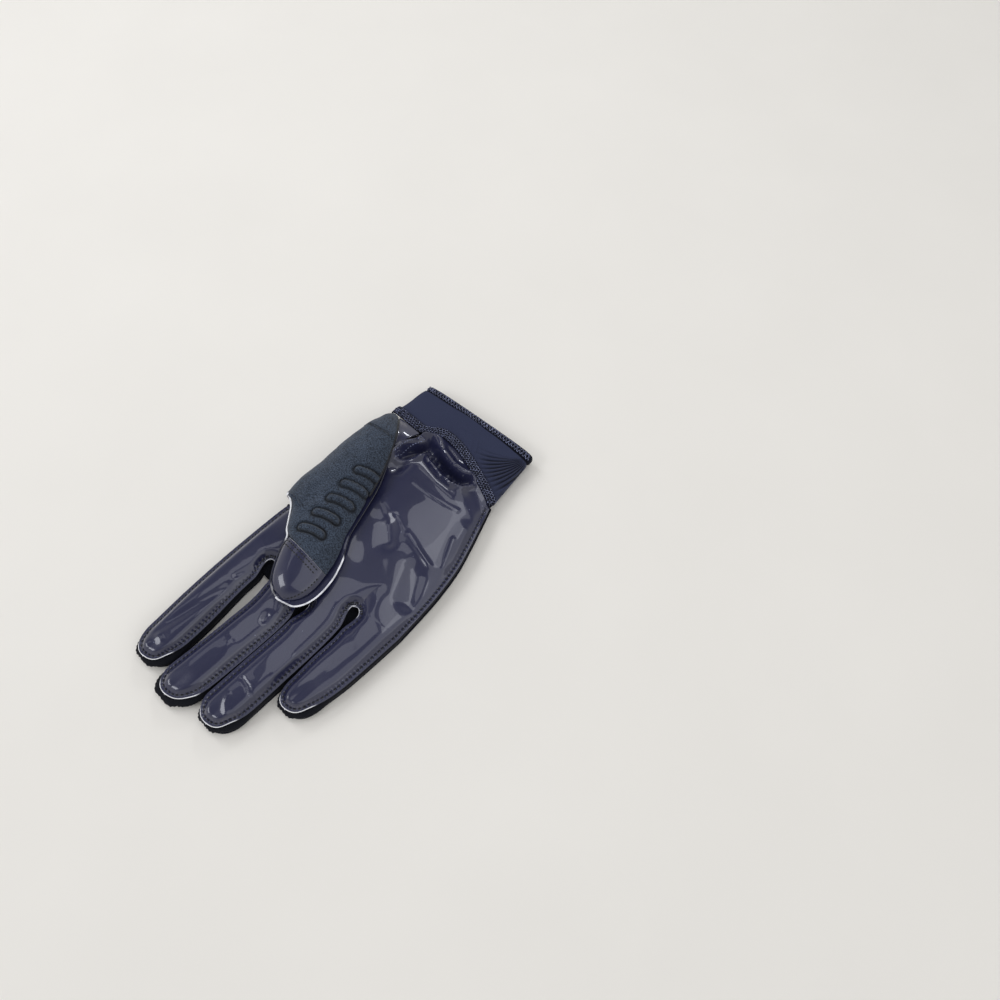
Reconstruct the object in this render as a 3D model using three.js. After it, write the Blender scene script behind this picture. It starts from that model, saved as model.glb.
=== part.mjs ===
// A football receiver's glove for the right hand, lying palm up on a table with its thumb folded
// over the palm. Units are millimetres, +Z is up, the fingers point along -Y and the thumb side is -X.
// Each sewn piece is one closed solid: a thin wall, hollow inside, with a small gap to the next piece.
import * as THREE from "three";

// Driving dimensions of the hand part
const PALM_WIDTH = 107; // across the knuckles, edge to edge
const PALM_LENGTH = 88; // thumb web line up to the cuff seam
const THUMB_REACH = 43; // thumb web line down to the thumb tip
const FINGER_LENGTH = 87.5; // index finger, foot line to tip
const FINGER_WIDTH = 24; // flat width of a finger
const TIP_ROUND = 13; // length of the rounded finger end
const EYELET_RADIUS = 3; // round notch at the foot of each finger slit
const EYELET_TAPER = 5; // depth at which the notch has narrowed to the slit, in radii

// Heights above the table
const EDGE_HEIGHT = 8.5; // raw edge of the palm sheet round the fingers
const FINGER_ARCH = 4.2; // rise of a finger's middle above its edges
const PALM_DOME = 4.9; // rise of the palm's middle above its edges
const THUMB_HEIGHT = 26.4; // top of the folded thumb
const FOLD_RISE = 5; // tallest buckle in the palm sheet

// Walls
const PALM_WALL = 1.2; // coated synthetic leather
const BACK_WALL = 1.2; // knitted back of the hand
const GUSSET_WALL = 1; // fabric between the fingers
const THUMB_WALL = 1.2; // stretch fabric over the thumb
const CUFF_WALL = 1.5; // elastic cuff
const HEM_WALL = 2.3; // folded and stitched opening edge
const SEAM_BAND_WALL = 0.9; // flat stitched band over the cuff seam
const SEAM_GAP = 0.35; // clearance between neighbouring pieces
const CUFF_SEAM_GAP = 1.1; // clearance between palm and cuff, under the stitched band

// Cuff
const CUFF_FOOT_WIDTH = 89.5; // at the seam to the palm
const CUFF_MOUTH_WIDTH = 82; // at the opening
const CUFF_HEIGHT = 11.5; // thickness of the flattened sleeve
const CUFF_LENGTH = 31; // seam line to opening, on the cuff's centre line
const CUFF_SLANT = 9; // how much further the little-finger side reaches
const HEM_LENGTH = 5;
const SEAM_BAND_LENGTH = 6;

// Gusset profile
const GUSSET_INSET = 1; // gusset's top edge behind the palm sheet's raw edge
const SIDE_BULGE = 0.3; // gusset beyond the raw edge along a finger's side
const TIP_BULGE = 3.2; // gusset beyond the raw edge round a finger tip, on the thumb's side
const TIP_BULGE_FAR = 0.9; // the same on the little finger's side

// Mesh fineness
const COLUMNS_PER_FINGER = 6;
const PALM_ROWS = 18;
const BACK_COLUMNS_PER_FINGER = 4;
const BACK_ROWS = 10;
const ARCH_COLUMNS = 12;
const CUFF_SIDES = 36;

// Places across are shares of PALM_WIDTH from the frame's own centre line. Places along the palm are
// shares of PALM_LENGTH, and below the web line shares of THUMB_REACH on the thumb.

// Foot of the fingers: outer edge of the index finger, the three slits, outer edge of the little finger
const ROOTS = [
  { across: -0.373, along: -0.27 },
  { across: -0.161, along: -0.337 },
  { across: 0.135, along: -0.35 },
  { across: 0.353, along: -0.163 },
  { across: 0.628, along: -0.114 },
];

// One row of sections for each finger. reach is a share of FINGER_LENGTH, half a share of FINGER_WIDTH and
// down a share of the finger's own length.
const FINGERS = [
  {
    name: "index",
    reach: 1,
    tip: -0.223,
    sections: [
      { down: 0.27, centre: -0.262, half: 0.479 },
      { down: 0.58, centre: -0.241, half: 0.51 },
      { down: 0.88, centre: -0.224, half: 0.484 },
    ],
  },
  {
    name: "middle",
    reach: 0.999,
    tip: 0.016,
    sections: [
      { down: 0.17, centre: 0.03, half: 0.512 },
      { down: 0.46, centre: 0.036, half: 0.492 },
      { down: 0.86, centre: 0.024, half: 0.505 },
    ],
  },
  {
    name: "ring",
    reach: 1.015,
    tip: 0.276,
    sections: [
      { down: 0.26, centre: 0.27, half: 0.479 },
      { down: 0.56, centre: 0.273, half: 0.488 },
      { down: 0.85, centre: 0.275, half: 0.488 },
    ],
  },
  {
    name: "little",
    reach: 0.752,
    tip: 0.495,
    sections: [
      { down: 0.27, centre: 0.506, half: 0.529 },
      { down: 0.55, centre: 0.504, half: 0.504 },
      { down: 0.8, centre: 0.499, half: 0.446 },
    ],
  },
];

// Palm sheet's edge on the little-finger side, and where it stops at the thumb's root seam
const LITTLE_EDGE = [
  { along: -0.114, across: 0.628 },
  { along: 0.02, across: 0.62 },
  { along: 0.227, across: 0.604 },
  { along: 0.455, across: 0.57 },
  { along: 0.625, across: 0.525 },
  { along: 0.795, across: 0.473 },
  { along: 0.95, across: 0.424 },
];
const THUMB_ROOT = [
  { along: -0.27, across: -0.373 },
  { along: -0.05, across: -0.369 },
  { along: 0, across: -0.352 },
  { along: 0.057, across: -0.3 },
  { along: 0.142, across: -0.236 },
  { along: 0.284, across: -0.197 },
  { along: 0.455, across: -0.18 },
  { along: 0.62, across: -0.156 },
  { along: 0.75, across: -0.174 },
  { along: 0.886, across: -0.166 },
  { along: 1.02, across: -0.146 },
];
// Edge of the back panel on the thumb side
const BACK_EDGE = [
  { along: -0.27, across: -0.374 },
  { along: -0.06, across: -0.378 },
  { along: 0.01, across: -0.4 },
  { along: 0.11, across: -0.414 },
  { along: 0.59, across: -0.42 },
  { along: 0.8, across: -0.408 },
  { along: 1, across: -0.394 },
];

// Cuff seam on the palm side: it rides up over the buckled palm sheet
const CUFF_SEAM = [
  { across: -0.42, along: 0.995 },
  { across: -0.2, along: 0.998 },
  { across: -0.165, along: 1.01 },
  { across: -0.09, along: 1.075 },
  { across: 0, along: 1.09 },
  { across: 0.1, along: 1.075 },
  { across: 0.28, along: 1.015 },
  { across: 0.44, along: 0.945 },
];

// Buckles of the palm sheet: a ridge or a hollow along the line between two points. width is a share
// of PALM_LENGTH and rise a share of FOLD_RISE.
const FOLDS = [
  { x1: -0.12, y1: 1.0, x2: 0.2, y2: 0.955, width: 0.04, rise: 0.5 }, // roll under the cuff seam
  { x1: -0.1, y1: 0.93, x2: 0.22, y2: 0.9, width: 0.045, rise: -0.95 }, // deep buckle
  { x1: -0.05, y1: 0.845, x2: 0.26, y2: 0.84, width: 0.045, rise: 0.55 }, // second roll
  { x1: -0.155, y1: 1.0, x2: -0.172, y2: 0.7, width: 0.045, rise: 0.95 }, // lip of the thumb's root seam
  { x1: -0.1, y1: 0.97, x2: -0.1, y2: 0.68, width: 0.05, rise: -0.5 }, // trough beside the lip
  { x1: 0, y1: 0.455, x2: 0.47, y2: 0.35, width: 0.045, rise: 0.24 }, // crease across the palm
  { x1: 0.13, y1: 0.34, x2: 0.2, y2: 0.27, width: 0.06, rise: -0.36 }, // dimple under the crease
  { x1: 0.41, y1: 0.25, x2: 0.5, y2: 0.07, width: 0.06, rise: -0.4 }, // hollow at the hand's heel side
  { x1: 0.04, y1: 0.25, x2: 0.46, y2: -0.02, width: 0.1, rise: -0.26 }, // long slanting hollow
  { x1: 0.44, y1: 0.68, x2: 0.52, y2: 0.39, width: 0.045, rise: 0.2 }, // ridge along the outer edge
];

// The thumb's upper side, a row for each section from the cuff seam to the tip. The section springs from
// its left foot (x1, y1, z1), swells to the crown and comes down to its right edge (x2, y2, z2).
// Y shares are of PALM_LENGTH above the web line and of THUMB_REACH below it, Z shares are of THUMB_HEIGHT.
const THUMB_TOP = [
  { x1: -0.396, y1: 0.945, z1: 0.061, swell: 0.02, crown: 0.43, x2: -0.342, y2: 0.955, z2: 0.42 },
  { x1: -0.403, y1: 0.88, z1: 0.061, swell: 0.035, crown: 0.63, x2: -0.282, y2: 0.89, z2: 0.61 },
  { x1: -0.412, y1: 0.73, z1: 0.061, swell: 0.05, crown: 0.85, x2: -0.206, y2: 0.79, z2: 0.76 },
  { x1: -0.418, y1: 0.6, z1: 0.061, swell: 0.06, crown: 0.93, x2: -0.118, y2: 0.602, z2: 0.74 },
  { x1: -0.417, y1: 0.43, z1: 0.061, swell: 0.06, crown: 0.97, x2: -0.065, y2: 0.451, z2: 0.712 },
  { x1: -0.414, y1: 0.25, z1: 0.061, swell: 0.06, crown: 0.985, x2: -0.015, y2: 0.269, z2: 0.693 },
  { x1: -0.411, y1: 0.114, z1: 0.061, swell: 0.055, crown: 0.99, x2: 0.032, y2: 0.119, z2: 0.682 },
  { x1: -0.407, y1: 0.04, z1: 0.061, swell: 0.05, crown: 1, x2: 0.054, y2: 0.068, z2: 0.682 },
  { x1: -0.402, y1: 0.014, z1: 0.3, swell: 0.03, crown: 1, x2: 0.07, y2: 0.036, z2: 0.682 },
  { x1: -0.374, y1: 0.017, z1: 0.57, swell: 0.01, crown: 1, x2: 0.084, y2: 0.007, z2: 0.682 },
  { x1: -0.336, y1: 0.016, z1: 0.77, swell: 0, crown: 1, x2: 0.095, y2: -0.042, z2: 0.682 },
  { x1: -0.285, y1: -0.042, z1: 0.795, swell: 0, crown: 1, x2: 0.107, y2: -0.116, z2: 0.682 },
  { x1: -0.234, y1: -0.174, z1: 0.807, swell: 0, crown: 1, x2: 0.119, y2: -0.198, z2: 0.682 },
  { x1: -0.19, y1: -0.298, z1: 0.814, swell: 0, crown: 0.995, x2: 0.127, y2: -0.279, z2: 0.682 },
  { x1: -0.151, y1: -0.358, z1: 0.81, swell: 0, crown: 0.985, x2: 0.135, y2: -0.349, z2: 0.682 },
];
const GUSSET_ROWS = 2; // the first rows of THUMB_TOP belong to the small gusset beside the cuff
const CAP_TOP = [
  { x1: -0.149, y1: -0.369, z1: 0.8, swell: 0, crown: 0.98, x2: 0.136, y2: -0.36, z2: 0.682 },
  { x1: -0.134, y1: -0.512, z1: 0.758, swell: 0, crown: 0.958, x2: 0.146, y2: -0.512, z2: 0.674 },
  { x1: -0.108, y1: -0.651, z1: 0.731, swell: 0, crown: 0.92, x2: 0.145, y2: -0.663, z2: 0.659 },
  { x1: -0.077, y1: -0.779, z1: 0.705, swell: 0, crown: 0.864, x2: 0.131, y2: -0.791, z2: 0.645 },
  { x1: -0.04, y1: -0.884, z1: 0.675, swell: 0, crown: 0.788, x2: 0.106, y2: -0.884, z2: 0.637 },
  { x1: -0.002, y1: -0.944, z1: 0.652, swell: 0, crown: 0.712, x2: 0.075, y2: -0.944, z2: 0.633 },
];

// The thumb's glossy side, from its root seam (seam columns) to its raw edge (edge columns). Beside the
// cuff it faces up, as the thumb's root. Then it turns over and lies on the palm. belly is the height of
// its middle.
const THUMB_BASE = [
  { seamX: -0.17, seamY: 0.958, seamZ: 0.5, belly: 0.475, edgeX: -0.335, edgeY: 0.955, edgeZ: 0.42 },
  { seamX: -0.176, seamY: 0.87, seamZ: 0.63, belly: 0.635, edgeX: -0.272, edgeY: 0.886, edgeZ: 0.61 },
  { seamX: -0.186, seamY: 0.75, seamZ: 0.68, belly: 0.7, edgeX: -0.195, edgeY: 0.776, edgeZ: 0.75 },
];
const THUMB_UNDER = [
  { seamX: -0.188, seamY: 0.69, seamZ: 0.61, belly: 0.625, edgeX: -0.152, edgeY: 0.69, edgeZ: 0.66 },
  { seamX: -0.168, seamY: 0.62, seamZ: 0.6, belly: 0.63, edgeX: -0.112, edgeY: 0.606, edgeZ: 0.665 },
  { seamX: -0.164, seamY: 0.455, seamZ: 0.548, belly: 0.56, edgeX: -0.055, edgeY: 0.46, edgeZ: 0.598 },
  { seamX: -0.178, seamY: 0.284, seamZ: 0.545, belly: 0.56, edgeX: -0.003, edgeY: 0.278, edgeZ: 0.588 },
  { seamX: -0.215, seamY: 0.142, seamZ: 0.54, belly: 0.56, edgeX: 0.037, edgeY: 0.132, edgeZ: 0.582 },
  { seamX: -0.28, seamY: 0.057, seamZ: 0.53, belly: 0.56, edgeX: 0.061, edgeY: 0.08, edgeZ: 0.578 },
  { seamX: -0.346, seamY: 0, seamZ: 0.52, belly: 0.56, edgeX: 0.081, edgeY: 0.045, edgeZ: 0.576 },
  { seamX: -0.369, seamY: 0, seamZ: 0.66, belly: 0.55, edgeX: 0.098, edgeY: 0.013, edgeZ: 0.576 },
  { seamX: -0.346, seamY: 0, seamZ: 0.785, belly: 0.55, edgeX: 0.115, edgeY: -0.028, edgeZ: 0.576 },
  { seamX: -0.295, seamY: -0.064, seamZ: 0.808, belly: 0.55, edgeX: 0.134, edgeY: -0.112, edgeZ: 0.576 },
  { seamX: -0.243, seamY: -0.198, seamZ: 0.818, belly: 0.55, edgeX: 0.15, edgeY: -0.2, edgeZ: 0.576 },
  { seamX: -0.199, seamY: -0.321, seamZ: 0.823, belly: 0.55, edgeX: 0.164, edgeY: -0.284, edgeZ: 0.576 },
  { seamX: -0.162, seamY: -0.388, seamZ: 0.835, belly: 0.55, edgeX: 0.174, edgeY: -0.372, edgeZ: 0.576 },
  { seamX: -0.147, seamY: -0.523, seamZ: 0.76, belly: 0.55, edgeX: 0.183, edgeY: -0.512, edgeZ: 0.576 },
  { seamX: -0.121, seamY: -0.665, seamZ: 0.705, belly: 0.55, edgeX: 0.183, edgeY: -0.663, edgeZ: 0.576 },
  { seamX: -0.089, seamY: -0.798, seamZ: 0.667, belly: 0.55, edgeX: 0.168, edgeY: -0.805, edgeZ: 0.576 },
  { seamX: -0.05, seamY: -0.912, seamZ: 0.636, belly: 0.55, edgeX: 0.136, edgeY: -0.916, edgeZ: 0.576 },
  { seamX: 0, seamY: -0.981, seamZ: 0.606, belly: 0.555, edgeX: 0.079, edgeY: -0.981, edgeZ: 0.576 },
];

const COLOURS = {
  gloss: { color: 0x2f3150, roughness: 0.12 },
  knit: { color: 0x14161f, roughness: 0.9 },
  brushed: { color: 0x28323a, roughness: 0.95 },
  elastic: { color: 0x2b3049, roughness: 0.8 },
  thread: { color: 0x1e2138, roughness: 0.85 },
};

const { lerp, smoothstep, degToRad } = THREE.MathUtils;

const acrossAt = (share) => share * PALM_WIDTH;
const alongAt = (share) => share * PALM_LENGTH;
const thumbAlong = (share) => share * (share < 0 ? THUMB_REACH : PALM_LENGTH);

// Smooth curve through a table: the named column at the place that the key column gives.
function follow(table, key, at, column) {
  const last = table.length - 1;
  const rising = table[last][key] > table[0][key];
  const passed = (row) => (rising ? row[key] <= at : row[key] >= at);
  let i = 0;
  while (i < last - 1 && passed(table[i + 1])) i++;
  const [a, b] = [table[i], table[i + 1]];
  const slope = (j) => {
    const [p, q] = [table[Math.max(j - 1, 0)], table[Math.min(j + 1, last)]];
    return (q[column] - p[column]) / (q[key] - p[key]);
  };
  const span = b[key] - a[key];
  const t = THREE.MathUtils.clamp((at - a[key]) / span, 0, 1);
  const [t2, t3] = [t * t, t * t * t];
  return (
    (2 * t3 - 3 * t2 + 1) * a[column] +
    (t3 - 2 * t2 + t) * span * slope(i) +
    (3 * t2 - 2 * t3) * b[column] +
    (t3 - t2) * span * slope(i + 1)
  );
}

// Gathers faces that share their corners, and gives them a wall's thickness.
class Sheet {
  constructor() {
    this.points = [];
    this.places = new Map();
    this.faces = [];
  }

  corner(p) {
    const key = [p.x, p.y, p.z].map((v) => v.toFixed(4)).join();
    if (!this.places.has(key)) {
      this.places.set(key, this.points.length);
      this.points.push(p.clone());
    }
    return this.places.get(key);
  }

  // Faces between rows of points. The outside is where (next column) x (next row) points.
  addGrid(rows) {
    const ids = rows.map((row) => row.map((p) => this.corner(p)));
    for (let r = 0; r + 1 < ids.length; r++) {
      for (let c = 0; c + 1 < ids[r].length; c++) {
        const [a, b, d, e] = [ids[r][c], ids[r][c + 1], ids[r + 1][c + 1], ids[r + 1][c]];
        this.faces.push([a, b, d], [a, d, e]);
      }
    }
    this.faces = this.faces.filter(([a, b, c]) => a !== b && b !== c && c !== a);
    return this;
  }

  normals() {
    const sums = this.points.map(() => new THREE.Vector3());
    for (const face of this.faces) {
      const [a, b, c] = face.map((i) => this.points[i]);
      const n = new THREE.Vector3().crossVectors(b.clone().sub(a), c.clone().sub(a));
      face.forEach((i) => sums[i].add(n));
    }
    return sums.map((n) => n.normalize());
  }

  // A closed solid: the faces, the same faces one wall further in, and a rim along each open edge.
  thicken(wall) {
    const normals = this.normals();
    const count = this.points.length;
    const inner = this.points.map((p, i) => p.clone().addScaledVector(normals[i], -wall));
    const index = this.faces.flat();
    for (const [a, b, c] of this.faces) index.push(a + count, c + count, b + count);
    const used = new Set(this.faces.flatMap(([a, b, c]) => [`${a},${b}`, `${b},${c}`, `${c},${a}`]));
    for (const edge of used) {
      const [a, b] = edge.split(",").map(Number);
      if (used.has(`${b},${a}`)) continue;
      index.push(b, a, a + count, b, a + count, b + count);
    }
    const geometry = new THREE.BufferGeometry();
    geometry.setFromPoints([...this.points, ...inner]);
    geometry.setIndex(index);
    geometry.computeVertexNormals();
    return geometry;
  }
}

// Cuff sleeve: a flattened tube. turn goes once round from the little-finger side over the top, length from
// 0 at the seam to 1 at the opening, and outset moves the surface outwards.
const CUFF_SQUARE = 3.4; // how square the flattened sleeve's section is
const cuffCentre = acrossAt(0.012);

function cuffSection(turn, length, outset) {
  const angle = turn * 2 * Math.PI;
  const power = 2 / CUFF_SQUARE;
  const [c, s] = [Math.cos(angle), Math.sin(angle)];
  const half = lerp(CUFF_FOOT_WIDTH, CUFF_MOUTH_WIDTH, length) / 2 + outset;
  const tall = CUFF_HEIGHT / 2 + outset;
  const x = cuffCentre * (1 - length) + half * Math.sign(c) * Math.abs(c) ** power;
  const z = CUFF_HEIGHT / 2 + tall * Math.sign(s) * Math.abs(s) ** power;
  return { x, z, palmSide: smoothstep(s, 0, 0.4) };
}

function seamLine(x, palmSide) {
  const share = x / PALM_WIDTH;
  const straight = lerp(0.99, 0.95, smoothstep(share, CUFF_SEAM[0].across, CUFF_SEAM.at(-1).across));
  return alongAt(lerp(straight, follow(CUFF_SEAM, "across", share, "along"), palmSide));
}

const mouthLine = (x) => PALM_LENGTH + CUFF_LENGTH + (CUFF_SLANT * x) / CUFF_MOUTH_WIDTH;

// A point of the cuff, ahead millimetres past the share of its length.
function cuffPoint(turn, length, outset, ahead = 0) {
  const { x, z, palmSide } = cuffSection(turn, length, outset);
  const y = lerp(seamLine(x, palmSide), mouthLine(x), length) + ahead;
  return new THREE.Vector3(x, y, z);
}

// Height of the cuff's top over a place across
function cuffTop(x) {
  const half = CUFF_FOOT_WIDTH / 2;
  const share = Math.min(Math.abs((x - cuffCentre) / half), 0.995);
  return (CUFF_HEIGHT / 2) * (1 + (1 - share ** CUFF_SQUARE) ** (1 / CUFF_SQUARE));
}

// Foot line of a finger: q runs from -1 at its left edge to 1 at its right edge.
function rootPoint(f, q) {
  const [a, b] = [ROOTS[f], ROOTS[f + 1]];
  const t = (q + 1) / 2;
  return { x: acrossAt(lerp(a.across, b.across, t)), y: alongAt(lerp(a.along, b.along, t)) };
}

const fingerLength = (f) => FINGERS[f].reach * FINGER_LENGTH;

function fingerTable(f) {
  const [a, b] = [ROOTS[f], ROOTS[f + 1]];
  const finger = FINGERS[f];
  return [
    { down: 0, centre: acrossAt((a.across + b.across) / 2), half: acrossAt(b.across - a.across) / 2 },
    ...finger.sections.map((s) => ({
      down: s.down,
      centre: acrossAt(s.centre),
      half: s.half * FINGER_WIDTH,
    })),
    { down: 1, centre: acrossAt(finger.tip), half: finger.sections.at(-1).half * FINGER_WIDTH },
  ];
}

function fingerTipY(f) {
  const [a, b] = [ROOTS[f], ROOTS[f + 1]];
  return alongAt((a.along + b.along) / 2) - fingerLength(f);
}

// Half width of a finger slit's round foot at a depth below the foot line
function eyeletHalf(depth) {
  const r = EYELET_RADIUS;
  if (depth < r) return Math.sqrt(r * r - (r - depth) ** 2);
  return r * (1 - smoothstep(depth, r, r * EYELET_TAPER));
}

// A place on a finger in plan: s runs from 0 at the foot to 1 at the tip, q across.
function fingerPlan(f, s, q) {
  const root = rootPoint(f, q);
  const tip = fingerTipY(f);
  const depth = s * (root.y - tip);
  if (s === 0) return { ...root, depth };
  const table = fingerTable(f);
  const straight = 1 - TIP_ROUND / fingerLength(f);
  const intoTip = Math.max(0, (s - straight) / (1 - straight));
  const round = Math.max(0, 1 - intoTip ** 2) ** 0.425;
  const hasSlit = q < 0 ? f > 0 : f < FINGERS.length - 1;
  const half = follow(table, "down", s, "half") * round - (hasSlit ? eyeletHalf(depth) : 0);
  return { x: follow(table, "down", s, "centre") + q * half, y: lerp(root.y, tip, s), depth };
}

// Rise of all the buckles at a place on the palm
function foldRise(x, y) {
  const p = new THREE.Vector2(x, y);
  return FOLDS.reduce((sum, fold) => {
    const a = new THREE.Vector2(acrossAt(fold.x1), alongAt(fold.y1));
    const run = new THREE.Vector2(acrossAt(fold.x2), alongAt(fold.y2)).sub(a);
    const t = THREE.MathUtils.clamp(p.clone().sub(a).dot(run) / run.lengthSq(), 0, 1);
    const away = p.distanceTo(a.addScaledVector(run, t)) / alongAt(fold.width);
    return sum + fold.rise * FOLD_RISE * Math.exp(-away * away);
  }, 0);
}

const fingerRise = (q) => FINGER_ARCH * (1 - Math.abs(q) ** 2.6);

function palmRise(share, y) {
  const side = Math.abs(2 * share - 1) ** 3.2;
  const thumbSideFall = 1 - smoothstep(y, alongAt(-0.1), alongAt(0.14));
  return PALM_DOME * (1 - side * (share > 0.5 ? 1 : thumbSideFall));
}

// Height of the palm sheet where it has come down onto the cuff, free above it
const ontoCuff = (free, x, v) => lerp(free, cuffTop(x), smoothstep(v, 0.83, 0.96));

// Palm: u is the column from 0 to 1 across, v runs from 0 at the finger feet to 1 at the cuff seam.
function palmPlan(f, q, v, leftEdge) {
  const root = rootPoint(f, q);
  const even = (f + (q + 1) / 2) / FINGERS.length;
  const edgeX = (table, y) => acrossAt(follow(table, "along", y / PALM_LENGTH, "across"));
  let y = root.y;
  let x = root.x;
  let share = even;
  for (let pass = 0; pass < 3; pass++) {
    const palmSide = leftEdge === THUMB_ROOT ? 1 : 0;
    y = lerp(root.y, seamLine(x, palmSide) - CUFF_SEAM_GAP, v);
    const [left, right] = [edgeX(leftEdge, y), edgeX(LITTLE_EDGE, y)];
    const [rootLeft, rootRight] = [acrossAt(ROOTS[0].across), acrossAt(ROOTS.at(-1).across)];
    share = lerp((root.x - rootLeft) / (rootRight - rootLeft), even, smoothstep(v, 0, 0.6));
    x = v === 0 ? root.x : lerp(left, right, share);
  }
  return { x, y, share };
}

function qColumns(perFinger) {
  return Array.from({ length: perFinger + 1 }, (_, i) => (2 * i) / perFinger - 1);
}

// Rows down a finger, closer together at the eyelet and round the tip
function fingerRows(f, coarse) {
  const length = fingerLength(f);
  const straight = 1 - TIP_ROUND / length;
  const radii = coarse ? [EYELET_TAPER] : [0.15, 0.5, 1, 1.8, 3, EYELET_TAPER];
  const start = radii.map((depth) => (depth * EYELET_RADIUS) / length);
  const steps = coarse ? 3 : 5;
  const from = start.at(-1);
  const body = Array.from({ length: steps }, (_, i) => lerp(from, straight, (i + 1) / steps));
  const turns = coarse ? [35, 65, 80] : [22, 42, 60, 76];
  const tip = turns.map((deg) => lerp(straight, 1, Math.sin(degToRad(deg))));
  return [0, ...start, ...body, ...tip];
}

// How far a place belongs to the separate fingers and not to the one palm
const fingerShare = (intoFinger) => smoothstep(intoFinger, alongAt(-0.22), alongAt(0.08));

function palmSheet() {
  const sheet = new Sheet();
  const qs = qColumns(COLUMNS_PER_FINGER);
  FINGERS.forEach((_, f) => {
    const rows = [];
    for (let r = PALM_ROWS; r >= 0; r--) {
      const v = r / PALM_ROWS;
      rows.push(
        qs.map((q) => {
          const { x, y, share } = palmPlan(f, q, v, THUMB_ROOT);
          const root = rootPoint(f, q);
          const rise = lerp(palmRise(share, y), fingerRise(q), fingerShare(root.y - y));
          const free = EDGE_HEIGHT + rise + foldRise(x, y) * (1 - smoothstep(share, 0.93, 1));
          const z = ontoCuff(free, x, v);
          return new THREE.Vector3(x, y, z);
        }),
      );
    }
    fingerRows(f, false)
      .slice(1)
      .forEach((s) => {
        rows.push(
          qs.map((q) => {
            const { x, y, depth } = fingerPlan(f, s, q);
            const even = (f + (q + 1) / 2) / FINGERS.length;
            const rise = lerp(palmRise(even, y), fingerRise(q), fingerShare(depth));
            const tipStart = 1 - (1.6 * TIP_ROUND) / fingerLength(f);
            const tipFall = FINGER_ARCH * 0.35 * smoothstep(s, tipStart, 1);
            return new THREE.Vector3(x, y, EDGE_HEIGHT + rise - tipFall * (1 - Math.abs(q)));
          }),
        );
      });
    sheet.addGrid(rows.map((row) => [...row].reverse()));
  });
  return sheet;
}

// Back of the hand and fingers, lying flat on the table with its outside down
function backSheet() {
  const sheet = new Sheet();
  const qs = qColumns(BACK_COLUMNS_PER_FINGER);
  FINGERS.forEach((_, f) => {
    const rows = [];
    for (let r = BACK_ROWS; r >= 0; r--) {
      rows.push(
        qs.map((q) => {
          const { x, y } = palmPlan(f, q, r / BACK_ROWS, BACK_EDGE);
          return new THREE.Vector3(x, y, 0);
        }),
      );
    }
    fingerRows(f, true)
      .slice(1)
      .forEach((s) => {
        rows.push(
          qs.map((q) => {
            const { x, y } = fingerPlan(f, s, q);
            return new THREE.Vector3(x, y, 0);
          }),
        );
      });
    sheet.addGrid(rows);
  });
  return sheet;
}

// Outline of a finger as stations from its foot to its tip on one side, with the gusset's bulge
function fingerSide(f, side) {
  const rows = fingerRows(f, false);
  const straight = 1 - TIP_ROUND / fingerLength(f);
  const tipBulge = side < 0 ? TIP_BULGE : TIP_BULGE_FAR;
  const flank = rows.map((s) => {
    const { x, y } = fingerPlan(f, s, side);
    return { x, y, bulge: lerp(SIDE_BULGE, tipBulge, smoothstep(s, straight, 1)) };
  });
  const end = [0.6, 0.06].map((q) => {
    const { x, y } = fingerPlan(f, rows.at(-1), side * q);
    return { x, y, bulge: lerp((TIP_BULGE + TIP_BULGE_FAR) / 2, tipBulge, q) };
  });
  return [...flank, ...end];
}

// A fabric wall along a run of stations, from just over the back panel to just under the palm sheet
function gussetSheet(stations) {
  const profile = [
    { height: 0, out: 0.45 },
    { height: 0.25, out: 0.95 },
    { height: 0.55, out: 1 },
    { height: 0.82, out: 0.5 },
    { height: 1, out: 0 },
  ];
  const low = BACK_WALL + SEAM_GAP;
  const rows = stations.map((station, i) => {
    const a = stations[Math.max(i - 1, 0)];
    const b = stations[Math.min(i + 1, stations.length - 1)];
    const out = new THREE.Vector2(a.y - b.y, b.x - a.x).normalize();
    const top = rawEdgeHeight(station) - PALM_WALL - SEAM_GAP;
    return profile.map(({ height, out: share }) => {
      const away = lerp(-GUSSET_INSET, station.bulge, share);
      return new THREE.Vector3(station.x + out.x * away, station.y + out.y * away, lerp(low, top, height));
    });
  });
  return new Sheet().addGrid(rows);
}

// The three gussets between fingers, each from one finger tip round the slit's foot to the next tip
function slitGusset(f) {
  const left = fingerSide(f, 1).reverse();
  const right = fingerSide(f + 1, -1).slice(1);
  return gussetSheet([...left, ...right].reverse());
}

// Height of the palm sheet's raw edge over a place on the hand's outline
function rawEdgeHeight({ x, y }) {
  const foot = alongAt(ROOTS.at(-1).along);
  const v = (y - foot) / (seamLine(x, 1) - CUFF_SEAM_GAP - foot);
  return ontoCuff(EDGE_HEIGHT, x, v);
}

// Outer side walls, from the tip up the edge of the hand
function outerWall(f, side, table, top) {
  const finger = fingerSide(f, side).reverse();
  const steps = 7;
  const [from, to] = [table[0].along, top];
  const palm = Array.from({ length: steps }, (_, i) => {
    const along = lerp(from, to, (i + 1) / steps);
    return { x: acrossAt(follow(table, "along", along, "across")), y: alongAt(along), bulge: SIDE_BULGE };
  });
  return [...finger, ...palm];
}

// A curve between two points that passes through the given height halfway. near and far say how its two
// inner control points share out the way from a to b.
function archBetween(a, b, height, near, far) {
  const pull = (height - (a.z + b.z) / 8) / 0.75;
  const control = (x, y) => new THREE.Vector3(lerp(a.x, b.x, x), lerp(a.y, b.y, y), pull);
  return new THREE.CubicBezierCurve3(a, control(near.x, near.y), control(far.x, far.y), b);
}

const thumbPoint = (x, y, z) => new THREE.Vector3(acrossAt(x), thumbAlong(y), z * THUMB_HEIGHT);

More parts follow.
